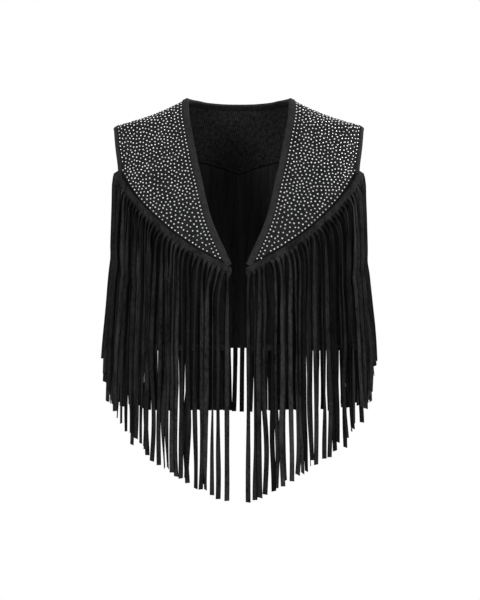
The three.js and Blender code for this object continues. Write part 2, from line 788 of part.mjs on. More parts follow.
addPair("front_panel", shell(panel, CLOTH), PANEL_SUEDE);
addPair("front_body", shell(frontBody, CLOTH), SUEDE);
addPiece("back_yoke", shell(acrossBack(yoke), CLOTH), SUEDE);
addPiece("back_body", shell(backBody, CLOTH), SUEDE);
addPiece("neck_binding", neckBinding(panel, yoke), BINDING_SUEDE);
addPair("armhole_binding", armholeBinding(panel, yoke), BINDING_SUEDE);
addPiece("front_fringe_right", longFringe(1), FRINGE_SUEDE);
addPiece("front_fringe_left", mirrored(longFringe(2)), FRINGE_SUEDE);
addPair("hem_fringe", hemFringe(frontBody, openingAngle, Math.PI / 2, 300), FRINGE_SUEDE);
addPiece("hem_fringe_back", hemFringe(backBody, Math.PI / 2, (3 * Math.PI) / 2, 500), FRINGE_SUEDE);

export default vest;
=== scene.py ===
"""Looks of a black faux suede fringe vest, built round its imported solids.

Lengths are in millimetres here and become metres in each mesh: +Z up, the front facing -Y, +X the right side.
"""
import math

import bpy
import numpy as np
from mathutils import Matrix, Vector


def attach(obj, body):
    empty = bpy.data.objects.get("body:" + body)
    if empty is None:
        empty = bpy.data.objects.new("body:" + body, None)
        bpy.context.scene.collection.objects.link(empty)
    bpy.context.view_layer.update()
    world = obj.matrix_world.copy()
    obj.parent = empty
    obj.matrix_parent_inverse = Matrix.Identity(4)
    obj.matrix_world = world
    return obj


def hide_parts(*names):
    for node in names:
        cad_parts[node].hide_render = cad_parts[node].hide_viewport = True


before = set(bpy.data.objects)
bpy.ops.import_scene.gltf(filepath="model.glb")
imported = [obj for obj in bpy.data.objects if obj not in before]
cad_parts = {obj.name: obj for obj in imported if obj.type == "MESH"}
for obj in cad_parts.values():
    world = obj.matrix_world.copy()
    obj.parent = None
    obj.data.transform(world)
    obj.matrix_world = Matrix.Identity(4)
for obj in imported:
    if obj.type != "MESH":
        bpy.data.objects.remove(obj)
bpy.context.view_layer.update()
MM = 0.001

# Camera: 1.6 mm to a pixel of the 480x600 frame at the vest's mid depth, level and square on.
CAMERA_DISTANCE = 4000.0
CAMERA_X = 1.9
CAMERA_Z = -299.2
FRAME_HEIGHT = 960.0
SENSOR = 36.0

# The figure's sections: height, half width, depth in front, depth behind.
SECTIONS = np.array([
    (34, 58, 18, 58), (22, 82, 31, 68), (11, 104, 41, 76), (1.6, 125, 48, 81), (-8, 150, 55, 86),
    (-16, 176, 60, 89), (-21, 192, 63, 91), (-26, 198, 66, 92), (-60, 203, 84, 100), (-100, 203.5, 100, 105),
    (-150, 200.5, 113, 105), (-215, 199, 120, 101), (-300, 203, 120, 98), (-378, 208, 121, 102),
    (-700, 216, 122, 104),
])
ROUNDNESS = 2.4

# Heights: the neck's top and the tip of each shoulder, the V's tip, the underarm and the hem.
NECK_TOP, TIP_Z, V_TIP = 22, -24, -244
UNDERARM_Z = -215.0
HEM_Z = -378.0

# The neck's edge, in front (height, distance across) and behind (angle, height).
NECK_EDGE = np.array([
    (22, 82), (-4, 80.5), (-30, 76), (-58, 70.5), (-86, 65), (-111, 59), (-142, 52.5), (-171, 45),
    (-193, 36.5), (-220, 24), (-244, 13),
])
BACK_NECK = np.array([(90, 22), (108, 22.2), (125, 21.4), (141, 19.1), (161, 17.4), (180, 17)])

# Both seams, from the middle outwards: distance across, height.
CURVED_SEAM = np.array([
    (10.5, -248), (36, -234), (62, -220.5), (82, -207.5), (103, -192.5), (115, -182.5), (128, -170.5),
    (142, -157), (155, -143), (168, -125.5), (180, -105.5),
])
YOKE_SEAM = np.array([
    (0, -93), (10, -90), (28, -83.6), (48, -78), (68, -73), (92, -69), (125, -66), (160, -64.5),
])
SEAM_STEPS = 13  # even steps along the curved seam
PANEL_END, STRIP_END = 0.45 / SEAM_STEPS, 1 - 0.35 / SEAM_STEPS  # shares of it, by the V and by the armhole
YOKE_NECK = 7 / 13  # the share of the yoke's top edge that is neck

ARMHOLE = np.array([  # height, distance in front of the seams, distance behind them
    (-24, 0, 0), (-28, 12, 13), (-40, 23, 26), (-60, 33, 38), (-95, 46, 53), (-135, 52, 60), (-170, 47, 55),
    (-195, 34, 41), (-210, 17, 20), (-215, 0, 0),
])
ARMHOLE_STEPS = 16  # from the shoulder's tip to the underarm
PANEL_ARMHOLE, YOKE_ARMHOLE = 7, 6  # the steps that the panel and the yoke take of them
TIP_SPREAD = 1.25  # crowds the steps towards the tip
ARMHOLE_MIDDLE_Z = -125.0

OPENING_HALF = 14.0
STRIP_WIDTH, STRIP_THICKNESS, STRAND_THICKNESS = 10.0, 1.3, 1.1
CLOTH = 1.5
GROOVE, GROOVE_WIDTH = 0.55, 1.6  # how far each skin sinks at a cloth's edges, and over what distance
SEAM_SHADOW_WIDTH = 1.1  # how far in from a cloth's edges its seams' painted shadow reaches

# Small steps for slopes: of an angle, a height and a share.
ANGLE_STEP, HEIGHT_STEP, SHARE_STEP = 0.004, 0.3, 0.004

# Long fringe. TURNS: place along the seam, length over which a strand turns down.
LONG_STRANDS = 32
TURNS = np.array([(0, 8), (0.15, 11), (0.5, 13), (0.8, 11), (0.9, 8), (0.96, 6), (1, 5)])
FLARES = np.array([  # place along the seam, how fast a strand comes away from the figure as it goes down
    (0, -0.006), (0.15, 0.002), (0.5, 0.008), (0.8, 0.016), (0.9, 0.024), (1, 0.036),
])
LONG_LAYERS = (4.4, 7.2, 10.0)
STRIP_START = 11.0  # the strip's distance across, by the V
STRIP_LIFT, STRIP_OVER_BINDING = 2.4, 4.8
STRIP_LINES = (1.3, 1.7, 2.4, 3.6, 5.2, 7.5, 9.2)  # distances of its lines below the seam
STRIP_SINKS = (0.35, 0.1, 0, 0, 0, 0, 0)  # how far each line sinks towards the cloth
ROOTS_BELOW_SEAM = 9.0
CROWDING = 0.13  # how much closer the roots are towards the armhole
TURN_SCALE = 1.15  # lengthens the turns of the table
TURN_MARGIN = 1.15  # how much longer than its turn a strand's whole way round has to be
DEPTH_AT_ENDS = 122  # of the figure, where the strands end
TIP_TWISTS = (-1.2, -0.7, -0.3, 0, 0, 0.3, 0.7, 1.2)
LEANS = (-1.05, -0.6, 0.0, 0.0, 0.0, 0.6, 1.05)  # turns of the strands about their own lines
LOUVRE = 0.82  # how far the strands lean by their roots, with the edges by the V lifted
WAVE, SECOND_WAVE, BOW = 2.2, 1.2, 1.5  # how far a strand wanders sideways
# How light the strands are coloured along each seam, darker in some stretches, from the V outwards: place,
# tone.
TONES_RIGHT = np.array([
    (0, 1.0), (0.36, 1.08), (0.46, 0.6), (0.74, 0.5), (0.82, 1.05), (0.92, 0.7), (1, 0.65),
])
TONES_LEFT = np.array([
    (0, 0.95), (0.28, 0.9), (0.38, 1.1), (0.5, 0.85), (0.6, 0.48), (0.7, 1.12), (0.78, 0.55), (0.87, 0.95),
    (1, 0.65),
])
# Where the strands end, from the V outwards, as seen from the front: distance across and height.
ENDS_LEFT = [
    (19, -620), (33, -617), (43, -611), (53, -602), (56, -593), (61, -601), (69, -599), (82, -591),
    (84, -581), (93, -582), (100, -579), (107, -572), (113, -565), (119, -564), (128, -560), (139, -554),
    (146, -545), (149, -533), (152, -528), (157, -524), (165, -516), (171, -526), (174, -507), (181, -505),
    (188, -492), (195, -484), (198, -473), (208, -450), (209, -441), (214, -430), (215, -414), (217, -392),
]
ENDS_RIGHT = [
    (15, -622), (26, -618), (34, -614), (42, -609), (56, -604), (61, -599), (71, -596), (74, -586),
    (85, -587), (94, -577), (102, -574), (108, -570), (115, -561), (118, -552), (124, -558), (137, -550),
    (145, -547), (154, -538), (158, -523), (170, -533), (174, -517), (181, -508), (182, -501), (185, -492),
    (197, -494), (198, -466), (203, -470), (209, -452), (211, -442), (216, -420), (217, -404), (218, -396),
]

# Short fringe round the hem: angle, length.
HEM_LENGTHS = np.array([(0, 93), (55, 92), (90, 82), (125, 98), (180, 104)])
HEM_PITCH, HEM_WIDTH, HEM_LIFT = 11.0, 7.5, 2.1
HEM_LINES = (STRIP_WIDTH, 9.4, 6, 3, 0.5)  # heights of the strip's lines above the hem

# Soft creases: angle and height of both ends, width, depth (out is positive). Angle 0 is the middle of the
# front, 90 the right side, 180 the middle of the back.
CREASES = [
    (168, -105, 164, -330, 9, -4.6), (191, -118, 197, -362, 11, -5.4), (150, -90, 141, -240, 9, -3.8),
    (211, -84, 222, -262, 8, -4.2), (180, -170, 178, -370, 13, 3.4), (128, -215, 133, -360, 10, -4.8),
    (236, -236, 229, -352, 9, -4.2), (104, -226, 128, -262, 8, -4.0), (258, -224, 235, -270, 9, -4.4),
    (96, -250, 108, -350, 10, 3.0), (266, -262, 252, -362, 10, 3.4), (160, -12, 141, -58, 9, -2.8),
    (201, -8, 222, -52, 10, -3.2), (117, -30, 128, -70, 9, -2.2), (243, -26, 229, -74, 9, -2.4),
    (80, -232, 60, -286, 10, -3.0), (282, -228, 303, -294, 10, -2.8), (40, -252, 37, -366, 13, 2.0),
    (321, -262, 326, -370, 12, 2.2), (20, -262, 24, -372, 11, -1.6), (338, -268, 334, -372, 11, -1.8),
    (57, -52, 40, -96, 13, -1.2), (304, -60, 322, -104, 13, -1.2), (30, -120, 21, -182, 14, 1.2),
    (331, -126, 340, -188, 14, 1.2), (66, -84, 52, -142, 11, -1.3), (295, -90, 310, -138, 11, -1.2),
]
CREASE_RADIUS = 150.0
CREASE_ENDS = 0.35  # a crease's depth at its ends, as a share of the depth in its middle


def smooth_curve(rows, key, column):
    """A function that reads a table's column at a key, on a smooth curve that doesn't overshoot."""
    order = np.argsort(rows[:, key])
    keys, values = rows[order, key].astype(float), rows[order, column].astype(float)
    slope = np.diff(values) / np.diff(keys)
    tangent = np.zeros_like(values)
    tangent[0], tangent[-1] = slope[0], slope[-1]
    same = slope[:-1] * slope[1:] > 0
    tangent[1:-1][same] = 2 * slope[:-1][same] * slope[1:][same] / (slope[:-1][same] + slope[1:][same])

    def at(x):
        x = np.clip(np.asarray(x, float), keys[0], keys[-1])
        i = np.clip(np.searchsorted(keys, x, side="right") - 1, 0, len(keys) - 2)
        span = keys[i + 1] - keys[i]
        t = (x - keys[i]) / span
        return (
            (2 * t**3 - 3 * t**2 + 1) * values[i]
            + (t**3 - 2 * t**2 + t) * span * tangent[i]
            + (3 * t**2 - 2 * t**3) * values[i + 1]
            + (t**3 - t**2) * span * tangent[i + 1]
        )

    return at


half = smooth_curve(SECTIONS, 0, 1)
depth = {"front": smooth_curve(SECTIONS, 0, 2), "back": smooth_curve(SECTIONS, 0, 3)}


def smoothstep(x, low, high):
    t = np.clip((x - low) / (high - low), 0, 1)
    return t * t * (3 - 2 * t)


def unit(v):
    return v / np.maximum(np.linalg.norm(v, axis=-1, keepdims=True), 1e-12)


def lerp(a, b, t):
    return a + (b - a) * t


def reach(angle, z):
    """Distance from the middle of a section to its edge: angle 0 in front, positive on the right."""
    c = np.cos(angle)
    deep = np.where(c > 0, depth["front"](z), depth["back"](z))
    across, along = np.abs(np.sin(angle)) / half(z), np.abs(c) / deep
    return (across**ROUNDNESS + along**ROUNDNESS) ** (-1 / ROUNDNESS)


def on_section(angle, z):
    angle, z = np.broadcast_arrays(np.asarray(angle, float), np.asarray(z, float))
    r = reach(angle, z)
    return np.stack([r * np.sin(angle), -r * np.cos(angle), z], -1)


def crease_height(angle, z):
    """How far the soft troughs and ridges move the cloth out."""
    u = np.mod(angle, 2 * math.pi) * CREASE_RADIUS
    total = np.zeros(np.broadcast(u, z).shape)
    for a0, z0, a1, z1, width, out in CREASES:
        u0, u1 = math.radians(a0) * CREASE_RADIUS, math.radians(a1) * CREASE_RADIUS
        du, dz = u1 - u0, z1 - z0
        t = np.clip(((u - u0) * du + (z - z0) * dz) / (du * du + dz * dz), 0, 1)
        away = ((u - u0 - t * du) ** 2 + (z - z0 - t * dz) ** 2) / width**2
        total += out * np.exp(-away) * lerp(CREASE_ENDS, 1, np.sin(math.pi * t))
    return total


def figure(angle, z, lift=0.0):
    """Points on the figure with their outward normals, with the creases and a lift off the cloth's middle."""
    point = on_section(angle, z)
    round_way = on_section(angle + ANGLE_STEP, z) - on_section(angle - ANGLE_STEP, z)
    rise = on_section(angle, np.asarray(z) + HEIGHT_STEP) - on_section(angle, np.asarray(z) - HEIGHT_STEP)
    normal = unit(np.cross(round_way, rise))
    out = np.asarray(crease_height(angle, z) + lift)
    return point + normal * out[..., None], normal


def other_axis(value, own, other):
    """The second of a section's two distances, from the first and both half widths."""
    return other * np.maximum(0, 1 - (np.abs(value) / own) ** ROUNDNESS) ** (1 / ROUNDNESS)


def angle_at_x(x, z, side):
    """The angle of a point of the front or back at a distance across and a height."""
    x = np.clip(x, 0, half(z))
    a = np.arctan2(x, other_axis(x, half(z), depth[side](z)))
    return a if side == "front" else math.pi - a


def shoulder_height(x):
    """The height of the shoulder's ridge at a distance across."""
    zs = np.linspace(30, TIP_Z, 6000)
    return np.interp(x, half(zs), zs)


def run_along(points, axis=0):
    """Distances along a line of points, or along each line of a grid of them."""
    steps = np.linalg.norm(np.diff(points, axis=axis), axis=-1)
    return np.concatenate([np.zeros_like(steps.take([0], axis)), np.cumsum(steps, axis)], axis)


def spline(points):
    """A smooth curve through points as a function of the share of its length; it runs on straight below 0."""
    p = np.asarray(points, float)
    padded = np.vstack([p[:1], p, p[-1:]])
    t = np.linspace(0, 1, 60, endpoint=False)[:, None]
    dense = []
    for a, b, c, d in zip(padded[:-3], padded[1:-2], padded[2:-1], padded[3:]):
        va, vb = (c - a) / 2, (d - b) / 2
        dense.append(
            (2 * b - 2 * c + va + vb) * t**3 + (-3 * b + 3 * c - 2 * va - vb) * t**2 + va * t + b
        )
    dense = np.vstack(dense + [p[-1:]])
    run = run_along(dense)
    start = (dense[1] - dense[0]) / run[1] * run[-1]

    def at(share):
        share = np.asarray(share, float)
        found = np.stack([np.interp(share * run[-1], run, dense[:, k]) for k in range(p.shape[1])], -1)
        return found + np.minimum(share, 0)[..., None] * start

    return at


def beside(curve, distance):
    """A curve of the x-z plane moved square to itself, up (positive) or down."""

    def at(share):
        share = np.asarray(share, float)
        run = unit(curve(share + SHARE_STEP) - curve(np.minimum(share, 1) - SHARE_STEP))
        return curve(share) + np.stack([-run[..., 1], run[..., 0]], -1) * distance

    return at


armhole_yz = {
    "front": spline(ARMHOLE[:, [1, 0]]),
    "back": spline(ARMHOLE[:, [2, 0]]),
}


def armhole(step, side):
    """Angle and height on the armhole's edge, from the shoulder's tip (step 0) to the underarm (the last)."""
    p = armhole_yz[side]((np.asarray(step, float) / ARMHOLE_STEPS) ** TIP_SPREAD)
    y, z = np.maximum(p[..., 0], 0), p[..., 1]
    x = other_axis(y, depth[side](z), half(z))
    a = np.arctan2(x, y)
    return (a if side == "front" else math.pi - a), z


def armhole_flat(step, side):
    angle, z = armhole(step, side)
    return np.stack([on_section(angle, z)[..., 0], z], -1)


curved_seam = spline(np.vstack([CURVED_SEAM, armhole_flat(PANEL_ARMHOLE, "front")]))
yoke_seam = spline(np.vstack([YOKE_SEAM, armhole_flat(YOKE_ARMHOLE, "back")]))
neck_x = smooth_curve(NECK_EDGE, 0, 1)
back_neck_z = smooth_curve(BACK_NECK, 0, 1)


def patch(top, bottom, inner, outer, u, v):
    """Places of the flat patch between four edges, for shares across and down."""
    uu, vv = np.meshgrid(u, v)
    u1, v1 = uu[..., None], vv[..., None]

    def between_ends(edge):
        ends = edge(np.array([0.0, 1.0]))
        return lerp(ends[0], ends[1], u1)

    corners = lerp(between_ends(top), between_ends(bottom), v1)
    return lerp(top(uu), bottom(uu), v1) + lerp(inner(vv), outer(vv), u1) - corners


NEAR_AN_EDGE = np.array([0, 0.4, 0.9, 1.6, 2.6, 4.0])  # distances of a cloth's first lines from its edge
NEXT_LINE = 5.5


def fine(count, length):
    """Shares of a side of about a length: even ones, and closer ones by both of its ends."""
    near = NEAR_AN_EDGE / length
    even = np.linspace(NEXT_LINE / length, 1 - NEXT_LINE / length, count)
    return np.concatenate([near, even, 1 - near[::-1]])


def straight(ends):
    """A straight edge between two ends, as a function of its share."""
    return lambda share: lerp(ends[0], ends[1], np.asarray(share)[..., None])


# Shares of the first rows below the shoulder's ridge, where the angle changes fast with the height.
PANEL_RIDGE, YOKE_RIDGE = (0, 8.5e-5, 2.9e-4), (0, 8.5e-6, 4.5e-5, 4e-4)
PANEL_STEPS = PANEL_ARMHOLE + SEAM_STEPS
NECK_CROWDING = 1.35  # crowds the panel's rows towards the shoulder, along the neck


def panel_places():
    """Angle and height all over the studded panel: rows from the shoulder to the tip of the V."""
    split = PANEL_ARMHOLE / PANEL_STEPS

    def top(u):
        x = lerp(half(NECK_TOP), half(TIP_Z), u)
        return np.stack([x, shoulder_height(x)], -1)

    def outer(v):
        arm = armhole_flat(np.minimum(v, split) * PANEL_STEPS, "front")
        seam = curved_seam(lerp(1, PANEL_END, np.clip((v - split) / (1 - split), 0, 1)))
        return np.where((v < split)[..., None], arm, seam)

    def inner(v):
        z = lerp(NECK_TOP, V_TIP, v**NECK_CROWDING)
        return np.stack([neck_x(z), z], -1)

    bottom = straight((inner(np.array(1.0)), outer(np.array(1.0))))
    rows = np.concatenate([PANEL_RIDGE, fine(96, 280)[1:]])
    p = patch(top, bottom, inner, outer, fine(44, 120), rows)
    angle = angle_at_x(p[..., 0], p[..., 1], "front")
    angle[0] = math.pi / 2  # the shoulder seam lies on the ridge
    return angle, p[..., 1]


def even_angles(start, end, shares, z=HEM_Z):
    """Angles at shares of the way round a section between two angles, and how long that way is."""
    fine_angles = np.linspace(start, end, 900)
    run = run_along(on_section(fine_angles, z))
    return np.interp(np.asarray(shares) * run[-1], run, fine_angles), run[-1]


OPENING_ANGLE = float(angle_at_x(OPENING_HALF, HEM_Z, "front"))


SIDE_STEPS = 4  # below the underarm
MIDDLE_TURNS = 0.12  # the share of a body's height in which its inner edge gets from the seam to the opening
HEM_ROWS = 6


def body_places(side, seam, first, corner, middle):
    """Angle and height all over a body: a patch down to the hem's strip, and the hem."""
    strip_top = HEM_Z + STRIP_WIDTH
    arm_steps = ARMHOLE_STEPS - corner
    rows = arm_steps + SIDE_STEPS

    def top(u):
        p = seam(lerp(first, 1.0, u))
        return np.stack([angle_at_x(p[..., 0], p[..., 1], side), p[..., 1]], -1)

    def outer(v):
        k = v * rows
        angle, z = armhole(corner + np.minimum(k, arm_steps), side)
        below = np.clip((k - arm_steps) / SIDE_STEPS, 0, 1)
        under = k > arm_steps
        height = np.where(under, lerp(UNDERARM_Z, strip_top, below), z)
        return np.stack([np.where(under, math.pi / 2, angle), height], -1)

    start = top(np.array(0.0))

    def inner(v):
        angle = lerp(start[0], middle, smoothstep(v, 0, MIDDLE_TURNS))
        return np.stack([angle, lerp(start[1], strip_top, v)], -1)

    def bottom(u):
        return np.stack([even_angles(middle, math.pi / 2, u)[0], np.full(np.shape(u), strip_top)], -1)

    p = patch(top, bottom, inner, outer, fine(44, 200), fine(70, 280)[:-5])
    hem = np.repeat(p[-1:], HEM_ROWS, axis=0)
    hem[..., 1] = np.linspace(strip_top - 2, HEM_Z, HEM_ROWS)[:, None]
    p = np.concatenate([p, hem])
    return p[..., 0], p[..., 1]


def yoke_places():
    """Angle and height all over the right half of the yoke: rows from the neck and shoulder to its seam."""

    def top(u):
        angle = lerp(180.0, 90.0, np.clip(u / YOKE_NECK, 0, 1))
        z = back_neck_z(angle)
        x = on_section(np.radians(angle), z)[..., 0]
        across = lerp(half(NECK_TOP), half(TIP_Z), np.clip((u - YOKE_NECK) / (1 - YOKE_NECK), 0, 1))
        over = u > YOKE_NECK
        return np.stack([np.where(over, across, x), np.where(over, shoulder_height(across), z)], -1)

    def outer(v):
        return armhole_flat(v * YOKE_ARMHOLE, "back")

    inner = straight((top(np.array(0.0)), yoke_seam(np.array(0.0))))
    rows = np.concatenate([YOKE_RIDGE, fine(34, 110)[1:]])
    columns = fine(70, 240)
    p = patch(top, yoke_seam, inner, outer, columns, rows)
    angle = angle_at_x(np.maximum(p[..., 0], 0), p[..., 1], "back")
    angle[0, columns > YOKE_NECK] = math.pi / 2
    return angle, p[..., 1]


def add_mesh(name, vertices, faces, materials, slots=None, uv=None, sharp=None, tone=None):
    """An object from vertices in millimetres and faces, riding on the vest.

    Its tone scales its colour at each vertex: uneven lightness and, on the fringes, painted shade along the
    strands' cut edges.
    """
    mesh = bpy.data.meshes.new(name)
    mesh.from_pydata((np.asarray(vertices) * MM).tolist(), [], [tuple(f) for f in faces])
    for material in materials:
        mesh.materials.append(material)
    if slots is not None:
        mesh.polygons.foreach_set("material_index", np.asarray(slots, np.int32))
    mesh.polygons.foreach_set("use_smooth", np.ones(len(mesh.polygons), bool))
    if uv is not None:
        layer = mesh.uv_layers.new(name="cloth")
        corners = np.zeros(len(mesh.loops), np.int32)
        mesh.loops.foreach_get("vertex_index", corners)
        layer.data.foreach_set("uv", np.asarray(uv, np.float32)[corners].ravel())
    if tone is not None:
        mesh.attributes.new("tone", "FLOAT", "POINT").data.foreach_set("value", np.asarray(tone, np.float32))
    if sharp:
        mesh.set_sharp_from_angle(angle=sharp)
    mesh.update()
    obj = bpy.data.objects.new(name, mesh)
    bpy.context.scene.collection.objects.link(obj)
    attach(obj, "root")
    return obj


def facing_out(vertices, faces):
    """The faces, all turned round if the closed mesh faces inwards."""
    v = np.asarray(vertices)
    volume = 0.0
    for f in faces:
        for k in range(1, len(f) - 1):
            volume += np.dot(v[f[0]], np.cross(v[f[k]], v[f[k + 1]]))
    return [tuple(reversed(f)) for f in faces] if volume < 0 else [tuple(f) for f in faces]


def quads(rows, columns, start=0):
    """Faces of a grid of vertices."""
    r, c = np.meshgrid(np.arange(rows - 1), np.arange(columns - 1), indexing="ij")
    a = start + (r * columns + c).ravel()
    return np.stack([a, a + 1, a + columns + 1, a + columns], 1)


def tube_faces(stations, corners, loop=False):
    """Faces round a tube of rings of vertices, one ring to a station."""
    i, j = np.meshgrid(np.arange(stations if loop else stations - 1), np.arange(corners), indexing="ij")
    here, ahead, after = i * corners, (i + 1) % stations * corners, (j + 1) % corners
    return np.stack([here + j, here + after, ahead + after, ahead + j], -1).reshape(-1, 4)


def skins(out, inside):
    """A closed mesh of two grids of points and the rim between them: vertices, faces, faces of the rim."""
    rows, columns = out.shape[:2]
    count = rows * columns
    rim = np.concatenate([
        np.arange(columns), np.arange(1, rows) * columns + columns - 1,
        (rows - 1) * columns + np.arange(columns - 2, -1, -1), np.arange(rows - 2, 0, -1) * columns,
    ])
    following = np.roll(rim, -1)
    edges = np.stack([following, rim, rim + count, following + count], 1)
    faces = np.concatenate([quads(rows, columns), quads(rows, columns, count)[:, ::-1], edges])
    vertices = np.concatenate([out.reshape(-1, 3), inside.reshape(-1, 3)])
    return vertices, facing_out(vertices, faces), len(edges)


def grid_area(points):
    """The area of each face of a grid of points, twice over."""
    diagonals = points[1:, 1:] - points[:-1, :-1], points[1:, :-1] - points[:-1, 1:]
    return np.linalg.norm(np.cross(*diagonals), axis=2)


def shell(name, angle, z, materials):
    """A cloth of two skins over places of the figure: outer face, lining, and painted shadow along its seams
    and on its rim.

    Its skins sink a little along its edges.
    """
    middle, _ = figure(angle, z)
    down, across = run_along(middle, 0), run_along(middle, 1)
    edge = np.minimum(np.minimum(down, down[-1:] - down), np.minimum(across, across[:, -1:] - across))
    sink = GROOVE * np.exp(-((edge / GROOVE_WIDTH) ** 2))
    out, _ = figure(angle, z, CLOTH / 2 - sink)
    inside, _ = figure(angle, z, sink - CLOTH / 2)
    vertices, faces, rim_faces = skins(out, inside)
    # Faces within that width of an edge, and the whole rim, are painted near black: painted shadow in the
    # seams' grooves.
    corners = np.stack([edge[1:, 1:], edge[1:, :-1], edge[:-1, 1:], edge[:-1, :-1]])
    seam_shadow_face = corners.max(axis=0).ravel() < SEAM_SHADOW_WIDTH
    slots = np.concatenate([np.where(seam_shadow_face, 2, 0), np.where(seam_shadow_face, 2, 1), np.full(rim_faces, 2)])
    uv = np.stack([across.ravel(), down.ravel()], 1) * MM
    obj = add_mesh(name, vertices, faces, materials, slots, np.concatenate([uv, uv]), sharp=1.0)
    cloth_area = float(grid_area(middle).sum() / 2)
    obj["cut"] = [float(across.max() * MM), float(down.max() * MM), cloth_area * MM * MM]
    return obj


def mirrored_across(angle, z):
    """Places of the whole back from its right half."""
    return np.concatenate([-angle[:, :0:-1], angle], 1), np.concatenate([z[:, :0:-1], z], 1)


def node_material(name):
    material = bpy.data.materials.new(name)
    material.use_nodes = True
    nodes, links = material.node_tree.nodes, material.node_tree.links
    return material, nodes, links, nodes["Principled BSDF"]


def new_node(nodes, kind, **values):
    node = nodes.new(kind)
    for key, value in values.items():
        if key in node.inputs:
            node.inputs[key].default_value = value
        else:
            setattr(node, key, value)
    return node


def ramp(nodes, links, factor, dark, light, ends=(0.0, 1.0)):
    """A colour that goes from dark to light as a factor goes from one end to the other."""
    node = nodes.new("ShaderNodeValToRGB")
    for element, colour, position in zip(node.color_ramp.elements, (dark, light), ends):
        element.position = position
        element.color = (*colour, 1)
    links.new(factor, node.inputs["Fac"])
    return node.outputs["Color"]


def multiplied(nodes, links, colour, by, share):
    """A colour multiplied by another to a share."""
    node = new_node(nodes, "ShaderNodeMix", data_type="RGBA", blend_type="MULTIPLY")
    node.inputs["Factor"].default_value = share
    links.new(colour, node.inputs["A"])
    links.new(by, node.inputs["B"])
    return node.outputs["Result"]


def uneven_roughness(nodes, links, shader, factor, low, high):
    node = nodes.new("ShaderNodeMapRange")
    node.inputs["To Min"].default_value = low
    node.inputs["To Max"].default_value = high
    links.new(factor, node.inputs["Value"])
    links.new(node.outputs["Result"], shader.inputs["Roughness"])


def suede(
    name, dark, light, streak=(1.0, 1.0, 1.0), grain=600.0, blotch=60.0, cloudy=0.35, bump=0.5, sheen=0.05,
    ribs=None, toned=False, cool=0.0005,
):
    """Faux suede: a fine nap with brushed patches, a little sheen, and ribs where it is knitted.

    It goes from one grey to another, both a touch cool.
    """
    material, nodes, links, shader = node_material(name)
    coordinates = nodes.new("ShaderNodeTexCoord")
    mapping = new_node(nodes, "ShaderNodeMapping", Scale=streak)
    links.new(coordinates.outputs["Object"], mapping.inputs["Vector"])
    nap = new_node(nodes, "ShaderNodeTexNoise", Scale=grain, Detail=4.0, Roughness=0.65)
    patches = new_node(nodes, "ShaderNodeTexNoise", Scale=blotch, Detail=3.0, Roughness=0.55)
    links.new(mapping.outputs["Vector"], nap.inputs["Vector"])
    links.new(mapping.outputs["Vector"], patches.inputs["Vector"])
    clouds = new_node(nodes, "ShaderNodeMath", operation="MULTIPLY")
    clouds.inputs[1].default_value = cloudy
    links.new(patches.outputs["Fac"], clouds.inputs[0])
    mixed = new_node(nodes, "ShaderNodeMath", operation="MULTIPLY_ADD")
    mixed.inputs[1].default_value = 1 - cloudy
    links.new(nap.outputs["Fac"], mixed.inputs[0])
    links.new(clouds.outputs[0], mixed.inputs[2])
    greys = [(value, value, value + cool) for value in (dark, light)]
    colour = ramp(nodes, links, mixed.outputs[0], *greys, ends=(0.38, 0.62))
    # The tone attribute scales the colour, and carries the painted shade along the strands' edges.
    if toned:
        tone = new_node(nodes, "ShaderNodeAttribute", attribute_name="tone")
        colour = multiplied(nodes, links, colour, tone.outputs["Fac"], 1.0)
    uneven_roughness(nodes, links, shader, patches.outputs["Fac"], 0.82, 0.98)
    relief = new_node(nodes, "ShaderNodeBump", Strength=bump, Distance=0.0004)
    links.new(nap.outputs["Fac"], relief.inputs["Height"])
    if ribs:
        wave = new_node(nodes, "ShaderNodeTexWave", Scale=ribs, Distortion=1.6, bands_direction="X")
        wave.inputs["Detail"].default_value = 2.0
        wave.inputs["Detail Scale"].default_value = 2.5
        links.new(coordinates.outputs["UV"], wave.inputs["Vector"])
        ribbed = new_node(nodes, "ShaderNodeBump", Strength=0.55, Distance=0.0005)
        links.new(wave.outputs["Fac"], ribbed.inputs["Height"])
        links.new(relief.outputs["Normal"], ribbed.inputs["Normal"])
        relief = ribbed
        colour = multiplied(nodes, links, colour, wave.outputs["Color"], 0.45)
    links.new(colour, shader.inputs["Base Color"])
    links.new(relief.outputs["Normal"], shader.inputs["Normal"])
    shader.inputs["Specular IOR Level"].default_value = 0.06
    shader.inputs["Sheen Weight"].default_value = sheen
    shader.inputs["Sheen Roughness"].default_value = 0.45
    shader.inputs["Sheen Tint"].default_value = (0.75, 0.76, 0.8, 1)
    return material


def metal(name):
    """Bright stud metal with fine scratches."""
    material, nodes, links, shader = node_material(name)
    coordinates = nodes.new("ShaderNodeTexCoord")
    scratches = new_node(nodes, "ShaderNodeTexNoise", Scale=900.0, Detail=3.0)
    links.new(coordinates.outputs["Object"], scratches.inputs["Vector"])
    uneven_roughness(nodes, links, shader, scratches.outputs["Fac"], 0.24, 0.4)
    colour = ramp(nodes, links, scratches.outputs["Fac"], (0.62, 0.62, 0.64), (0.95, 0.95, 0.96))
    links.new(colour, shader.inputs["Base Color"])
    shader.inputs["Metallic"].default_value = 1.0
    return material


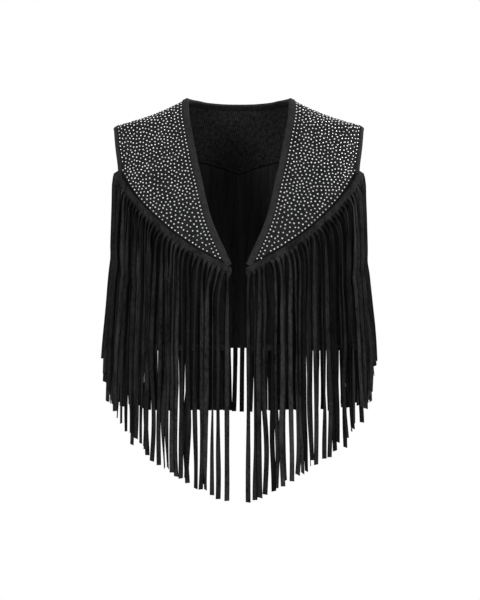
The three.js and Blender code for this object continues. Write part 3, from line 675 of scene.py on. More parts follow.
PANEL = suede("panel_suede", 0.011, 0.029)
BODY = suede("body_suede", 0.011, 0.031, cloudy=0.2, sheen=0.1)
# The fronts' suede: the body's cloth painted darker, painted shade under the fringe.
FRONT_SHADED_SUEDE = suede("front_suede_painted_shade", 0.007, 0.020)
BINDING = suede("binding_suede", 0.018, 0.046, blotch=90.0, sheen=0.07)
FRINGE = suede(
    "fringe_suede", 0.006, 0.041, streak=(1.0, 1.0, 0.3), grain=620.0, blotch=80.0, cloudy=0.45, bump=0.7,
    toned=True,
)
INSIDE = suede("inside_suede", 0.012, 0.035, streak=(1.0, 1.0, 0.05), blotch=70.0, cloudy=0.6, bump=0.3)
KNIT = suede("inside_knit", 0.010, 0.046, grain=430.0, blotch=200.0, cloudy=0.5, bump=0.8, ribs=85.0)
INSIDE_BAND = suede("binding_inside", 0.007, 0.022, blotch=90.0)
THREAD = suede("thread", 0.012, 0.034, grain=2600.0, bump=0.8, sheen=0.02)
# Near-black suede for the seams and cut rims of the cloths: painted shadow where the seams' grooves fall
# dark.
SEAM_SHADOW = suede("seam_painted_shadow", 0.001, 0.003, grain=2600.0, bump=0.8, sheen=0.0, cool=0.0)
METAL = metal("stud_silver")


SIDES = (("right", 1), ("left", -1))
panel_angle, panel_z = panel_places()
seam_starts = np.linspace(0, 0.1, 60)
first_share = float(np.interp(OPENING_HALF, curved_seam(seam_starts)[:, 0], seam_starts))
front_angle, front_z = body_places("front", curved_seam, first_share, PANEL_ARMHOLE, OPENING_ANGLE)
back_angle, back_z = mirrored_across(*body_places("back", yoke_seam, 0.0, YOKE_ARMHOLE, math.pi))
yoke_angle, yoke_z = mirrored_across(*yoke_places())

yoke = shell("yoke_cloth", yoke_angle, yoke_z, [BODY, KNIT, SEAM_SHADOW])
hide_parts("back_yoke")
back = shell("back_cloth", back_angle, back_z, [BODY, INSIDE, SEAM_SHADOW])
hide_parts("back_body")
panels, bodies = {}, {}
for side, sign in SIDES:
    panels[side] = shell(f"panel_cloth_{side}", sign * panel_angle, panel_z, [PANEL, INSIDE, SEAM_SHADOW])
    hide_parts(f"front_panel_{side}")
    bodies[side] = shell(f"front_cloth_{side}", sign * front_angle, front_z, [FRONT_SHADED_SUEDE, INSIDE, SEAM_SHADOW])
    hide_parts(f"front_body_{side}")


# Bindings: distance in from the edge, distance off the middle of the cloth.
BINDING_PROFILE = np.array([
    (7.7, 1.0), (8.0, 1.3), (8.0, 1.9), (7.6, 2.2), (6.9, 2.3), (6.3, 2.15), (5.7, 2.35), (3.5, 2.45),
    (1.2, 2.4), (-0.4, 2.15), (-1.5, 1.4), (-1.95, 0.3), (-1.95, -0.6), (-1.4, -1.7), (-0.3, -2.3),
    (1.2, -2.55), (3.5, -2.6), (5.7, -2.5), (6.3, -2.3), (6.9, -2.45), (7.6, -2.35), (8.0, -2.0),
    (8.0, -1.3), (7.7, -1.1), (4.0, -1.0), (0.4, -0.95), (-0.5, 0.0), (0.4, 0.95), (4.0, 1.0),
])
BINDING_REACH = 8.0
BINDING_INSIDE = (14, 22)  # the profile's corners on the side of the body


class Edge:
    """A line along an edge of the cloth, from angles and heights, with how the binding lies on it."""

    def __init__(self, angle, z, away_from, loop=False):
        self.loop = loop
        self.point, self.normal = figure(angle, z)
        if loop:
            run = np.roll(self.point, -1, 0) - np.roll(self.point, 1, 0)
        else:
            run = np.gradient(self.point, axis=0)
        self.run = unit(run)
        into = unit(np.cross(self.run, self.normal))
        centre = away_from(self.point)
        into *= np.sign((into * (self.point - centre)).sum(1, keepdims=True))
        far = self.point + into * BINDING_REACH
        self.far, self.far_normal = figure(np.arctan2(far[:, 0], -far[:, 1]), far[:, 2])
        self.far = self.point + unit(self.far - self.point) * BINDING_REACH

    def at(self, inwards, out):
        """The line at a distance in from the edge and a distance off the middle of the cloth."""
        share = inwards / BINDING_REACH
        normal = unit(lerp(self.normal, self.far_normal, np.clip(share, 0, 1)))
        return self.point + (self.far - self.point) * share + normal * out, normal


def binding(name, edge, node):
    """A strip folded over an edge, a little wavy, that replaces a node."""
    ring = np.stack([edge.at(inwards, out)[0] for inwards, out in BINDING_PROFILE], 1)
    stations, corners = ring.shape[:2]
    place = np.arange(stations)
    wave = np.sin(place * 0.37) * 0.07 + np.sin(place * 0.113 + 1) * 0.09
    ring += (edge.normal * wave[:, None])[:, None, :]
    faces = [tuple(f) for f in tube_faces(stations, corners, edge.loop)]
    if not edge.loop:
        last = (stations - 1) * corners
        faces.append(tuple(range(corners))[::-1])
        faces.append(tuple(range(last, last + corners)))
    vertices = ring.reshape(-1, 3)
    inner = [BINDING_INSIDE[0] <= f[0] % corners < BINDING_INSIDE[1] and len(f) == 4 for f in faces]
    materials = [BINDING, INSIDE_BAND]
    obj = add_mesh(name, vertices, facing_out(vertices, faces), materials, slots=inner, sharp=1.2)
    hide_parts(node)
    return obj


def neck_middle(points):
    """The middle of the neck's opening, beside points of its edge."""
    return points * (0, 0, 1) + (0, -8, 12)


def armhole_middle(points):
    """The middle of an armhole, beside points of its edge."""
    return points * (1, 0, 0) + (0, 0, ARMHOLE_MIDDLE_Z)


def neck_edge():
    front_z = lerp(NECK_TOP, V_TIP, np.linspace(1, 0, 150) ** 1.2)
    front = angle_at_x(neck_x(front_z), front_z, "front")
    behind = np.linspace(90, 180, 60)[1:]
    angle = np.concatenate([front, np.radians(behind)])
    z = np.concatenate([front_z, back_neck_z(behind)])
    return Edge(np.concatenate([angle, -angle[-2::-1]]), np.concatenate([z, z[-2::-1]]), neck_middle)


def armhole_edge(sign):
    steps = np.linspace(0, ARMHOLE_STEPS, 110)
    front, back_part = armhole(steps, "front"), armhole(steps[-2:0:-1], "back")
    angle = np.concatenate([front[0], back_part[0]]) * sign
    return Edge(angle, np.concatenate([front[1], back_part[1]]), armhole_middle, loop=True)


neck_line = neck_edge()
neck = binding("neck_binding_cloth", neck_line, "neck_binding")
arm_lines, arm_bindings = {}, {}
for side, sign in SIDES:
    arm_lines[side] = armhole_edge(sign)
    name = f"armhole_binding_cloth_{side}"
    arm_bindings[side] = binding(name, arm_lines[side], f"armhole_binding_{side}")


# Strips and strands: places across a strand, and how light its colour is there, with painted shade along its
# cut edges for the dark gaps between strands.
PROFILE = np.array([-1, -0.7, -0.4, 0, 0.4, 0.7, 1])
CUT_EDGE = np.abs(PROFILE) == 1
# Painted shade: the cut edges darkened nearly to black, where the gaps between strands fall into shadow.
EDGE_PAINTED_SHADE = np.where(CUT_EDGE, 0.06, 1.0)
EDGE_THINNING = np.where(CUT_EDGE, 0.7, 1.0)


def ribbon(point, normal, width, twist, cup, slant):
    """A flat strand through points: vertices and faces. It turns about its own line by twist.

    Its end is cut at a slant. Its width and its cup, how far its edges curl, may change on the way.
    """
    width, cup = (np.broadcast_to(np.asarray(v, float), len(point))[:, None] for v in (width, cup))
    heading = unit(np.gradient(point, axis=0))
    across = unit(np.cross(heading, normal))
    square = unit(np.cross(across, heading))
    c, s = np.cos(twist)[:, None], np.sin(twist)[:, None]
    wide, high = across * c + square * s, square * c - across * s
    bow = cup * PROFILE**2

    def skin(side):
        out = side * STRAND_THICKNESS / 2 * EDGE_THINNING + bow
        sideways = PROFILE * width / 2
        return point[:, None] + wide[:, None] * sideways[:, :, None] + high[:, None] * out[:, :, None]

    ring = np.concatenate([skin(1), skin(-1)[:, ::-1]], 1)
    ring[-1] += heading[-1] * (np.concatenate([PROFILE, PROFILE[::-1]]) * slant)[:, None]
    n, k = ring.shape[:2]
    faces = [tuple(f) for f in tube_faces(n, k)]
    last = (n - 1) * k
    for c in range(len(PROFILE) - 1):
        q = (c, k - 1 - c, k - 2 - c, c + 1)
        faces.append(q)
        faces.append(tuple(last + x for x in reversed(q)))
    vertices = ring.reshape(-1, 3)
    return vertices, facing_out(vertices, faces)


def joined(parts):
    vertices, faces, start = [], [], 0
    for v, f in parts:
        vertices.append(v)
        faces.extend([tuple(start + x for x in face) for face in f])
        start += len(v)
    return np.vstack(vertices), faces


def tones(parts, middles, rng, spread):
    """A tone for the strip and for each strand, round its middle tone, with painted shade along each strand's
    cut edges.
    """
    values = [float(np.clip(middle * rng.normal(1, spread), 0.25, 1.5)) for middle in middles]
    ring = np.concatenate([EDGE_PAINTED_SHADE, EDGE_PAINTED_SHADE])
    strip, *strands = [np.full(len(v), tone) for (v, _), tone in zip(parts, values)]
    return np.concatenate([strip] + [strand * np.resize(ring, len(strand)) for strand in strands])


def strip_curve(distance):
    """A line of the strip at a distance below the curved seam, as a function of its share."""
    line = beside(curved_seam, -distance)
    x0, x1 = line(0.0)[0], line(0.01)[0]
    start = (STRIP_START - x0) / (x1 - x0) * 0.01
    return lambda share: line(lerp(start, STRIP_END, np.asarray(share, float)))


def strip_lift(share):
    return lerp(STRIP_LIFT, STRIP_OVER_BINDING, smoothstep(np.asarray(share, float), 0.76, 0.88))


def slab(point_rows, normal_rows):
    """A strip's closed slab over rows of points: vertices and faces."""
    half_way = normal_rows * STRIP_THICKNESS / 2
    return skins(point_rows + half_way, point_rows - half_way)[:2]


def long_strip(sign):
    shares = np.linspace(0, 1, 140)
    p = np.stack([strip_curve(distance)(shares) for distance in STRIP_LINES])
    angle = sign * angle_at_x(p[..., 0], p[..., 1], "front")
    point, normal = figure(angle, p[..., 1], strip_lift(shares)[None, :] - np.array(STRIP_SINKS)[:, None])
    return slab(point, normal)


def seen_angle(across, z, lift):
    """The angle at which a point at a height is seen at a distance across, from the front."""
    angles = np.linspace(0.03, 1.75, 700)
    p, _ = figure(angles, np.full(700, float(z)), lift)
    seen = p[:, 0] * CAMERA_DISTANCE / (CAMERA_DISTANCE + p[:, 1])
    best = int(np.argmax(seen))
    return float(np.interp(across, seen[: best + 1], angles[: best + 1]))


def seam_place(i):
    """Where on the seam a strand is rooted: they crowd a little towards the armhole."""
    even = (i + 0.5) / LONG_STRANDS
    return even * (1 + CROWDING * (1 - even))


def strand_root(share):
    """Where a strand leaves the strip, seen flat, its angle, and how far outwards the strip rises there."""
    line = strip_curve(ROOTS_BELOW_SEAM)
    root = line(share)
    run = unit(line(share + SHARE_STEP) - root)
    start = float(angle_at_x(root[0], root[1], "front"))
    behind = float(angle_at_x(*(root - run), "front"))
    rise = run[1] / np.linalg.norm(on_section(start, root[1]) - on_section(behind, root[1] - run[1]))
    return root, start, min(1.0, max(0.0, float(rise)))


def strand_sway(s, t, rng):
    """How far a strand wanders sideways at distances and shares down it: two waves, and a bow by its end."""
    sway = rng.uniform(-WAVE, WAVE) * np.sin(math.pi * t)
    sway = sway + rng.uniform(-SECOND_WAVE, SECOND_WAVE) * np.sin(2.6 * math.pi * t + 1)
    sway *= smoothstep(s, 20, 110) * (1 - smoothstep(t, 0.75, 1))
    return sway + rng.normal(0, BOW) * np.sin(math.pi * np.clip((t - 0.6) / 0.4, 0, 1))


def strand_twist(s, t, share, tip, rng):
    """How a strand turns about its own line: like a louvre by its root, leaning below, and turned at its tip.

    The strands by the armhole are quieter.
    """
    quiet = 1 - 0.85 * float(smoothstep(share, 0.78, 0.95))
    lean = (rng.choice(LEANS) + rng.normal(0, 0.28)) * quiet
    twist = lean * smoothstep(s, 20, 80) * (1 - 0.72 * smoothstep(t, 0.45, 0.85))
    twist += quiet * LOUVRE * smoothstep(s, 1, 10) * (1 - 0.85 * smoothstep(s, 25, 95))
    waver = rng.uniform(0.1, 0.35) * np.sin(s / rng.uniform(30, 55) + rng.uniform(0, 6))
    twist += waver * smoothstep(s, 15, 90) * quiet + tip * smoothstep(t, 0.7, 1)
    return twist


def long_strand(i, sign, end, layer, tip, rng):
    """A strand from its root, square to the seam, round and down to its end: vertices and faces."""
    share = seam_place(i)
    root, start, outward = strand_root(share)
    down = math.sqrt(1 - outward**2)
    turn = float(np.interp(share, TURNS[:, 0], TURNS[:, 1])) * TURN_SCALE
    from_camera = CAMERA_DISTANCE - DEPTH_AT_ENDS * math.cos(start)
    end_z = CAMERA_Z + (end[1] - CAMERA_Z) * from_camera / CAMERA_DISTANCE
    length = root[1] - end_z + turn * (1 - down)
    flare = float(np.interp(share, FLARES[:, 0], FLARES[:, 1]))
    furthest = start + lerp(0.3, 0.07, smoothstep(share, 0.72, 0.98))
    seen = seen_angle(end[0], end_z, layer + flare * length)
    end_angle = float(np.clip(seen, start - 0.1, furthest))

    # Its line: s is the distance down it and t the share of its length.
    s = np.concatenate([np.linspace(-1, 36, 20), np.linspace(42, length, 58)])
    t = np.clip(s / length, 0, 1)
    whole = (end_angle - start) * float(reach(start, end_z))
    turn *= float(np.clip(whole / (TURN_MARGIN * turn * outward), 0.25, 1))
    turned = turn * (1 - np.exp(-np.maximum(s, 0) / turn))
    z = root[1] - np.where(s < 0, s * down, turned * down + s - turned)
    sideways = np.where(s < 0, s, turned) * outward / reach(start, z)
    free = turned[-1] * outward / reach(start, z[-1])
    early = lerp(0.85, 0.1, smoothstep(share, 0.7, 1.0))
    way = early * smoothstep(s, 0, 50) + (1 - early) * t ** lerp(1.0, 1.5, smoothstep(share, 0.8, 1.0))
    sway = strand_sway(s, t, rng)
    angle = start + sideways + (end_angle - start - free) * way + sway / reach(start, z)
    settled = smoothstep(s, 0, 18)
    lift = lerp(float(strip_lift(share)), layer, settled) + rng.uniform(-0.5, 0.5) * smoothstep(s, 20, 60)
    lift = lift + flare * np.maximum(s, 0)
    point, normal = figure(sign * angle, z, lift)
    hang = s > 30
    point[hang, 1] = np.minimum.accumulate(point[hang, 1])  # it never swings back in

    # How it faces: as the strip does at its root, then level, and by the armhole more to the front.
    level = unit(normal * np.array([1, 1, 0]))
    ahead_facing = np.array([0, -1.0, 0])
    level = unit(lerp(level, ahead_facing, 0.8 * float(smoothstep(share, 0.7, 0.95))))
    normal = unit(lerp(normal, level, settled[:, None]))
    twist = strand_twist(s, t, share, tip, rng)
    curl = smoothstep(s, 2, 14) * (1 - 0.6 * smoothstep(s, 60, 170)) * rng.uniform(0.5, 1.3)
    width = lerp(8.0, 7.3, float(smoothstep(share, 0.1, 0.6))) * (1 - 0.1 * curl)
    return ribbon(point, normal, width, twist * sign, -0.9 * curl, rng.uniform(-1.1, 1.1) + 0.9 * tip)


def long_layers(rng):
    """Which layer each strand hangs in: never that of the one before."""
    found, before = [], -1
    for _ in range(LONG_STRANDS):
        choice = rng.choice([k for k in range(len(LONG_LAYERS)) if k != before])
        found.append(LONG_LAYERS[choice])
        before = choice
    return found[:-2] + [LONG_LAYERS[1], LONG_LAYERS[0]]


for (side, sign), ends, lie, seed in zip(SIDES, (ENDS_RIGHT, ENDS_LEFT), (TONES_RIGHT, TONES_LEFT), (11, 23)):
    rng = np.random.default_rng(seed)
    layers = long_layers(rng)
    tips = np.random.default_rng(seed + 60).choice(TIP_TWISTS, LONG_STRANDS)
    tips[0] = 0
    parts = [long_strip(sign)]
    parts += [long_strand(i, sign, ends[i], layers[i], tips[i], rng) for i in range(LONG_STRANDS)]
    places = seam_place(np.arange(LONG_STRANDS))
    tone = tones(parts, [0.9, *np.interp(places, lie[:, 0], lie[:, 1])], rng, 0.3)
    fringe = add_mesh(f"front_fringe_cut_{side}", *joined(parts), [FRINGE], sharp=0.7, tone=tone)
    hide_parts(f"front_fringe_{side}")

hem_length = smooth_curve(HEM_LENGTHS, 0, 1)


def hem_strand(at, rng):
    """A short strand that hangs from the hem at an angle: vertices and faces."""
    fold = abs((math.degrees(at) + 180) % 360 - 180)
    length = float(hem_length(fold)) + rng.uniform(-1.8, 1.8)
    s = np.concatenate([[-0.5, 3, 6, 9], np.linspace(13, length, 20)])
    root, normal_there = figure(np.array(at), np.array(HEM_Z), HEM_LIFT)
    level = unit(normal_there * np.array([1, 1, 0]))
    sideways = np.cross([0, 0, 1.0], level)
    t = np.clip(s / length, 0, 1)
    sway = rng.uniform(-2.4, 2.4) * t**1.6 + rng.uniform(-0.8, 0.8) * np.sin(math.pi * t)
    out = rng.uniform(-1.6, 1.6) * smoothstep(t, 0.1, 0.9)
    path = root + sideways * sway[:, None] + level * out[:, None]
    path[:, 2] = HEM_Z - s
    lean = rng.normal(0, 0.3) * smoothstep(s, 4, 45) + 0.15 * np.sin(s / 17 + rng.uniform(0, 6)) * t
    facing = np.tile(level, (len(s), 1))
    return ribbon(path, facing, HEM_WIDTH, lean, rng.uniform(-0.3, 0.3), rng.uniform(-0.9, 0.9))


def hem_fringe(name, start, end, seed, node):
    """The strip along the hem between two angles, and its strands."""
    rng = np.random.default_rng(seed)
    angles, run = even_angles(start, end, np.linspace(0, 1, 220))
    heights = HEM_Z + np.array(HEM_LINES)
    point, normal = figure(angles[None, :], heights[:, None] + angles[None, :] * 0, HEM_LIFT)
    parts = [slab(point, normal)]
    count = int(run // HEM_PITCH)
    for at in even_angles(start, end, (np.arange(count) + 0.5) / count)[0]:
        parts.append(hem_strand(at, rng))
    tone = tones(parts, [0.6] * len(parts), rng, 0.25)
    obj = add_mesh(name, *joined(parts), [FRINGE], sharp=0.7, tone=tone)
    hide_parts(node)
    return obj


hem_fringes = {
    "right": hem_fringe("hem_fringe_cut_right", OPENING_ANGLE, math.pi / 2, 31, "hem_fringe_right"),
    "left": hem_fringe("hem_fringe_cut_left", -math.pi / 2, -OPENING_ANGLE, 37, "hem_fringe_left"),
    "back": hem_fringe("hem_fringe_cut_back", math.pi / 2, 1.5 * math.pi, 41, "hem_fringe_back"),
}


# Studs: their sizes, rings (width, height), how many a panel has, and how they are placed.
STUD_RADIUS, STUD_HEIGHT, STUD_SIDES = 1.22, 1.0, 10
STUD_RINGS = ((1.0, -0.25), (1.06, 0.1), (0.93, 0.42), (0.62, 0.8), (0.25, 0.98))
STUD_COUNT, STUD_TRIALS, STUD_EVENING = 610, 14000, 20
STUD_FLATTEN = np.array([1, 0.5, 1], np.float32)  # the spacing is even in the cut, before it curves back
STUD_SHOULDER = 0.9  # how far below the shoulder's ridge they start
STUD_BORDER_GAP = 4.8  # the least between two border studs

# Border rows, as distances in from the edge and between studs: two by the neck (with how uneven they are),
# one by the armhole and one above the curved seam. The free studs keep further in.
NECK_ROWS = ((10.4, 6.2, 0.08), (16.2, 6.9, 0.25))
ARMHOLE_ROW, SEAM_ROW = (10.6, 6.4), (3.7, 6.6)
FREE_FROM_BINDING, FREE_FROM_SEAM = 12.8, 7.6


def stud_parts(points, normals, scales):
    """Domes at points: vertices and faces."""
    turn = np.arange(STUD_SIDES) * 2 * math.pi / STUD_SIDES
    vertices, faces = [], []
    per = len(STUD_RINGS) * STUD_SIDES + 1
    for index, (point, normal, scale) in enumerate(zip(points, normals, scales)):
        first = unit(np.cross(normal, [0.31, 0.2, 0.93]))
        second = np.cross(normal, first)
        for wide, high in STUD_RINGS:
            radius = STUD_RADIUS * wide * scale
            ring = np.cos(turn)[:, None] * first + np.sin(turn)[:, None] * second
            vertices.append(point + ring * radius + normal * STUD_HEIGHT * high * scale)
        vertices.append((point + normal * STUD_HEIGHT * scale)[None])
        base = index * per
        for r in range(len(STUD_RINGS) - 1):
            for k in range(STUD_SIDES):
                after = (k + 1) % STUD_SIDES
                a, b = base + r * STUD_SIDES, base + (r + 1) * STUD_SIDES
                faces.append((a + k, a + after, b + after, b + k))
        top = base + (len(STUD_RINGS) - 1) * STUD_SIDES
        for k in range(STUD_SIDES):
            faces.append((top + k, top + (k + 1) % STUD_SIDES, base + per - 1))
        faces.append(tuple(base + k for k in reversed(range(STUD_SIDES))))
    return np.vstack(vertices), faces


def spaced_along(points, spacing, rng, loose):
    """Indices of a dense line's points at about even distances."""
    run = run_along(points)
    marks = [spacing * 0.5]
    while marks[-1] < run[-1] - spacing * 0.4:
        marks.append(marks[-1] + spacing * (1 + rng.uniform(-loose, loose)))
    return np.searchsorted(run, marks[:-1])


def panel_rows(rng):
    """Places of the border studs: along the neck, the armhole and the curved seam."""
    rows = []

    def add_row(points, spacing, loose=0.1):
        rows.append(points[spaced_along(points * STUD_FLATTEN, spacing, rng, loose)])

    z = np.linspace(19, -234, 900)
    neck_side = Edge(angle_at_x(neck_x(z), z, "front"), z, neck_middle)
    for inwards, spacing, loose in NECK_ROWS:
        add_row(neck_side.at(inwards, 0)[0], spacing, loose)
    angle, z = armhole(np.linspace(1.1, PANEL_ARMHOLE - 0.2, 500), "front")
    add_row(Edge(angle, z, armhole_middle).at(ARMHOLE_ROW[0], 0)[0], ARMHOLE_ROW[1])
    p = beside(curved_seam, SEAM_ROW[0])(np.linspace(0.04, 0.985, 900))
    add_row(figure(angle_at_x(p[:, 0], p[:, 1], "front"), p[:, 1])[0], SEAM_ROW[1])
    return np.vstack(rows)


def stud_spacing(z):
    """How far apart the studs are at a height: wider towards the V."""
    return lerp(1.0, 1.24, smoothstep(-z, 120, 215))


def apart(a, b):
    """Distances between all points of two sets."""
    return np.sqrt(np.maximum((a * a).sum(1)[:, None] + (b * b).sum(1)[None] - 2 * a @ b.T, 0))


def below_ridge(p):
    return p[2] < shoulder_height(p[0]) - STUD_SHOULDER


def free_places(rng):
    """Many flattened places all over a panel, denser where the studs are closer, clear of its edges."""
    flat = figure(panel_angle, panel_z)[0].astype(np.float32) * STUD_FLATTEN
    crowd = grid_area(flat) / stud_spacing(flat[1:, 1:, 2]) ** 4
    run = np.cumsum(crowd.ravel())
    marks = (np.arange(STUD_TRIALS) + 0.5) / STUD_TRIALS * run[-1]
    i, j = np.divmod(np.searchsorted(run, marks), flat.shape[1] - 1)
    down, across = rng.uniform(size=(2, STUD_TRIALS, 1)).astype(np.float32)
    top = lerp(flat[i, j], flat[i, j + 1], across)
    low = lerp(flat[i + 1, j], flat[i + 1, j + 1], across)
    free = lerp(top, low, down)
    arm_angle, arm_z = armhole(np.linspace(0, PANEL_ARMHOLE, 100), "front")
    neck_z = np.linspace(NECK_TOP, V_TIP, 200)
    seam = curved_seam(np.linspace(0, 1, 200))
    edges = (
        (arm_angle, arm_z, FREE_FROM_BINDING),
        (angle_at_x(neck_x(neck_z), neck_z, "front"), neck_z, FREE_FROM_BINDING),
        (angle_at_x(seam[:, 0], seam[:, 1], "front"), seam[:, 1], FREE_FROM_SEAM),
    )
    for angle, z, clear in edges:
        free = free[apart(free / STUD_FLATTEN, on_section(angle, z)).min(axis=1) > clear]
    return free[[below_ridge(p) for p in free]]


def stud_places(rng):
    """Points all over a panel: the border rows first, then each free one where there is most room.

    The free ones then move to the middles of the places nearest to them, many times.
    """
    chosen = []
    for p in panel_rows(rng) * STUD_FLATTEN:
        close = [q for q in chosen if np.linalg.norm(p - q) < STUD_BORDER_GAP]
        if below_ridge(p) and p[1] < -2 and not close:
            chosen.append(p)
    chosen = np.asarray(chosen, np.float32)
    free = free_places(rng)
    border = len(chosen)
    room = apart(free, chosen).min(axis=1)
    wanted = stud_spacing(free[:, 2])
    added = []
    while border + len(added) < STUD_COUNT:
        best = int(np.argmax(room / wanted))
        added.append(free[best])
        room = np.minimum(room, np.linalg.norm(free - free[best], axis=1))
    chosen = np.vstack([chosen, added])
    for _ in range(STUD_EVENING):
        nearest = np.argmin(apart(free, chosen), axis=1)
        for k in range(border, len(chosen)):
            own = free[nearest == k]
            if len(own):
                chosen[k] = own.mean(axis=0)
    return chosen / STUD_FLATTEN


for (side, sign), seed in zip(SIDES, (5, 8)):
    rng = np.random.default_rng(seed)
    places = stud_places(rng)
    angle = np.arctan2(places[:, 0], -places[:, 1]) * sign
    at, normal = figure(angle, places[:, 2], CLOTH / 2)
    scales = 1 + rng.uniform(-0.13, 0.11, len(places))
    add_mesh(f"studs_{side}", *stud_parts(at, normal, scales), [METAL], sharp=1.1)


# Stitches: rings (place along, width), sizes, and how they lie on the bindings, the strips and the yoke.
STITCH_RINGS = ((-0.5, 0.35), (-0.33, 0.95), (0.0, 1.15), (0.33, 0.95), (0.5, 0.35))
STITCH_LENGTH, STITCH_PITCH, STITCH_RADIUS, STITCH_SIDES = 2.1, 2.9, 0.3, 6
STITCH_SINK = 0.12  # of its ends
BINDING_STITCHES, BINDING_FACES = 6.3, ((2.28, 1), (-2.42, -1))  # distance in; lift and way of each face
STRIP_STITCHES, YOKE_STITCHES, HEM_STITCHES = 2.6, 3.2, 6.6
ON_STRIP, ON_CLOTH = 0.68, CLOTH / 2 + 0.05  # lifts


def stitches(point, normal):
    """Small raised stitches along a dense line of points: vertices and faces."""
    run = run_along(point)
    marks = np.arange(STITCH_PITCH, run[-1] - STITCH_PITCH, STITCH_PITCH)

    def found(places, values):
        return np.stack([np.interp(places, run, values[:, k]) for k in range(3)], 1)

    at, up = found(marks, point), unit(found(marks, normal))
    along = unit(found(marks + 1, point) - at)
    side = np.cross(up, along)
    turn = np.arange(STITCH_SIDES) * 2 * math.pi / STITCH_SIDES
    around = np.cos(turn)[None, :, None] * side[:, None] + np.sin(turn)[None, :, None] * up[:, None]
    rings = []
    for place, wide in STITCH_RINGS:
        centre = at + along * STITCH_LENGTH * place - up * STITCH_SINK * abs(place) * 2
        rings.append(centre[:, None] + around * STITCH_RADIUS * wide)
    vertices = np.concatenate(rings, 1).reshape(-1, 3)
    count = len(STITCH_RINGS) * STITCH_SIDES
    side_faces = tube_faces(len(STITCH_RINGS), STITCH_SIDES)[:, [0, 3, 2, 1]]
    faces = []
    for base in range(0, len(vertices), count):
        faces.extend(tuple(f) for f in side_faces + base)
        faces.append(tuple(base + k for k in range(STITCH_SIDES)))
        faces.append(tuple(base + count - STITCH_SIDES + k for k in reversed(range(STITCH_SIDES))))
    return vertices, faces


def sewn(name, parts):
    obj = add_mesh(name, *joined(parts), [THREAD], sharp=1.2)
    return obj


def edge_stitches(name, edge):
    """Stitches on both faces of a binding."""
    parts = []
    for out, way in BINDING_FACES:
        point, normal = edge.at(BINDING_STITCHES, out)
        if edge.loop:
            point, normal = np.vstack([point, point[:1]]), np.vstack([normal, normal[:1]])
        parts.append(stitches(point, normal * way))
    return sewn(name, parts)


def surface_stitches(name, lines):
    """Stitches along lines of angles and heights, each with a lift and a way out or in."""
    parts = []
    for angle, z, lift, way in lines:
        point, normal = figure(angle, z, lift)
        parts.append(stitches(point, normal * way))
    return sewn(name, parts)


neck_sewing = edge_stitches("neck_stitching", neck_line)
arm_sewing = {side: edge_stitches(f"armhole_stitching_{side}", arm_lines[side]) for side, _ in SIDES}
for side, sign in SIDES:
    shares = np.linspace(0.01, 0.99, 500)
    p = strip_curve(STRIP_STITCHES)(shares)
    lines = [(sign * angle_at_x(p[:, 0], p[:, 1], "front"), p[:, 1], strip_lift(shares) + ON_STRIP, 1)]
    surface_stitches(f"strip_stitching_{side}", lines)
yoke_line = beside(yoke_seam, YOKE_STITCHES)(np.linspace(0, 0.97, 500))
yoke_line_angle = angle_at_x(np.maximum(yoke_line[:, 0], 0), yoke_line[:, 1], "back")
yoke_sewing = surface_stitches("yoke_stitching", [
    (turned * yoke_line_angle, yoke_line[:, 1], out * ON_CLOTH, out)
    for turned in (1, -1) for out in (1, -1)
])
hem_ends = OPENING_ANGLE + 0.01, 2 * math.pi - OPENING_ANGLE - 0.01
hem_angles = even_angles(*hem_ends, np.linspace(0, 1, 1500))[0]
hem_heights = np.full(len(hem_angles), HEM_Z + HEM_STITCHES)
hem_sewing = surface_stitches("hem_stitching", [
    (hem_angles, hem_heights, HEM_LIFT + ON_STRIP, 1),
    (hem_angles, hem_heights, -ON_CLOTH, -1),
])


# The stage, in metres.
FLOOR_Z, FLOOR_RADIUS, FLOOR_SIDES = -1.25, 2.4, 96
WORLD_SEEN, WORLD_MIRRORED, WORLD_DIFFUSE = 1.0, 0.85, 0.25


def add_floor():
    """A plain pale floor, well below the vest."""
    turn = np.linspace(0, 2 * math.pi, FLOOR_SIDES, endpoint=False)
    ring = [(FLOOR_RADIUS * math.cos(a), FLOOR_RADIUS * math.sin(a), FLOOR_Z) for a in turn]
    mesh = bpy.data.meshes.new("floor")
    mesh.from_pydata(ring, [], [tuple(range(FLOOR_SIDES))])
    floor = bpy.data.objects.new("floor", mesh)
    bpy.context.scene.collection.objects.link(floor)
    material, nodes, links, shader = node_material("floor_pale")
    noise = new_node(nodes, "ShaderNodeTexNoise", Scale=3.0, Detail=2.0)
    colour = ramp(nodes, links, noise.outputs["Fac"], (0.93, 0.925, 0.915), (0.96, 0.955, 0.95))
    links.new(colour, shader.inputs["Base Color"])
    shader.inputs["Roughness"].default_value = 0.9
    shader.inputs["Specular IOR Level"].default_value = 0.1
    mesh.materials.append(material)


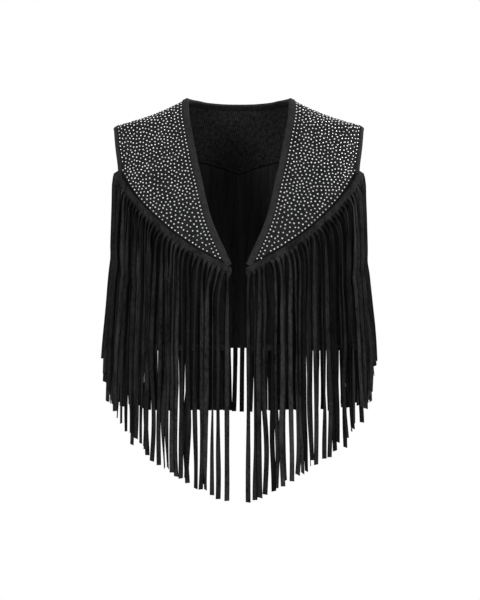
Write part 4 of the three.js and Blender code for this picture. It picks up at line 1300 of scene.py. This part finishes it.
def add_light(name, place, size, power, target=(0.0, 0.0, -0.25)):
    data = bpy.data.lights.new(name, "AREA")
    data.energy, data.size = power, size
    light = bpy.data.objects.new(name, data)
    bpy.context.scene.collection.objects.link(light)
    light.location = place
    light.rotation_euler = (Vector(target) - Vector(place)).to_track_quat("-Z", "Y").to_euler()


def add_world():
    """Pale all round, and dimmer as light on the cloth, as in a studio with soft lamps."""
    world = bpy.data.worlds.new("studio")
    bpy.context.scene.world = world
    world.use_nodes = True
    nodes, links = world.node_tree.nodes, world.node_tree.links
    path = nodes.new("ShaderNodeLightPath")
    shown = nodes["Background"]
    shown.inputs["Strength"].default_value = WORLD_MIRRORED
    for strength, ray in ((WORLD_SEEN, "Is Camera Ray"), (WORLD_DIFFUSE, "Is Diffuse Ray")):
        background = new_node(nodes, "ShaderNodeBackground", Strength=strength)
        background.inputs["Color"].default_value = (1.0, 1.0, 1.0, 1)
        mixed = nodes.new("ShaderNodeMixShader")
        links.new(path.outputs[ray], mixed.inputs["Fac"])
        links.new(shown.outputs[0], mixed.inputs[1])
        links.new(background.outputs[0], mixed.inputs[2])
        shown = mixed
    nodes["Background"].inputs["Color"].default_value = (1.0, 1.0, 1.0, 1)
    links.new(shown.outputs[0], nodes["World Output"].inputs["Surface"])


def add_camera():
    """Level and square on, as far away as the photograph's, with its framing."""
    data = bpy.data.cameras.new("camera")
    data.sensor_width = SENSOR
    data.lens = SENSOR * CAMERA_DISTANCE / FRAME_HEIGHT
    camera = bpy.data.objects.new("camera", data)
    bpy.context.scene.collection.objects.link(camera)
    camera.location = (CAMERA_X * MM, -CAMERA_DISTANCE * MM, CAMERA_Z * MM)
    camera.rotation_euler = (math.pi / 2, 0, 0)
    data.clip_start, data.clip_end = 0.1, 50.0
    bpy.context.scene.camera = camera


add_floor()
add_world()
add_light("lamp_left", (-1.9, -2.5, 1.1), 1.0, 44.0)
add_light("lamp_right", (2.2, -2.4, 0.9), 1.0, 34.0)
add_light("lamp_behind_left", (-2.2, 2.4, 1.0), 1.0, 18.0)
add_light("lamp_behind_right", (2.9, 1.4, 1.0), 0.8, 66.0)
add_camera()
bpy.context.scene.view_settings.view_transform = "Standard"
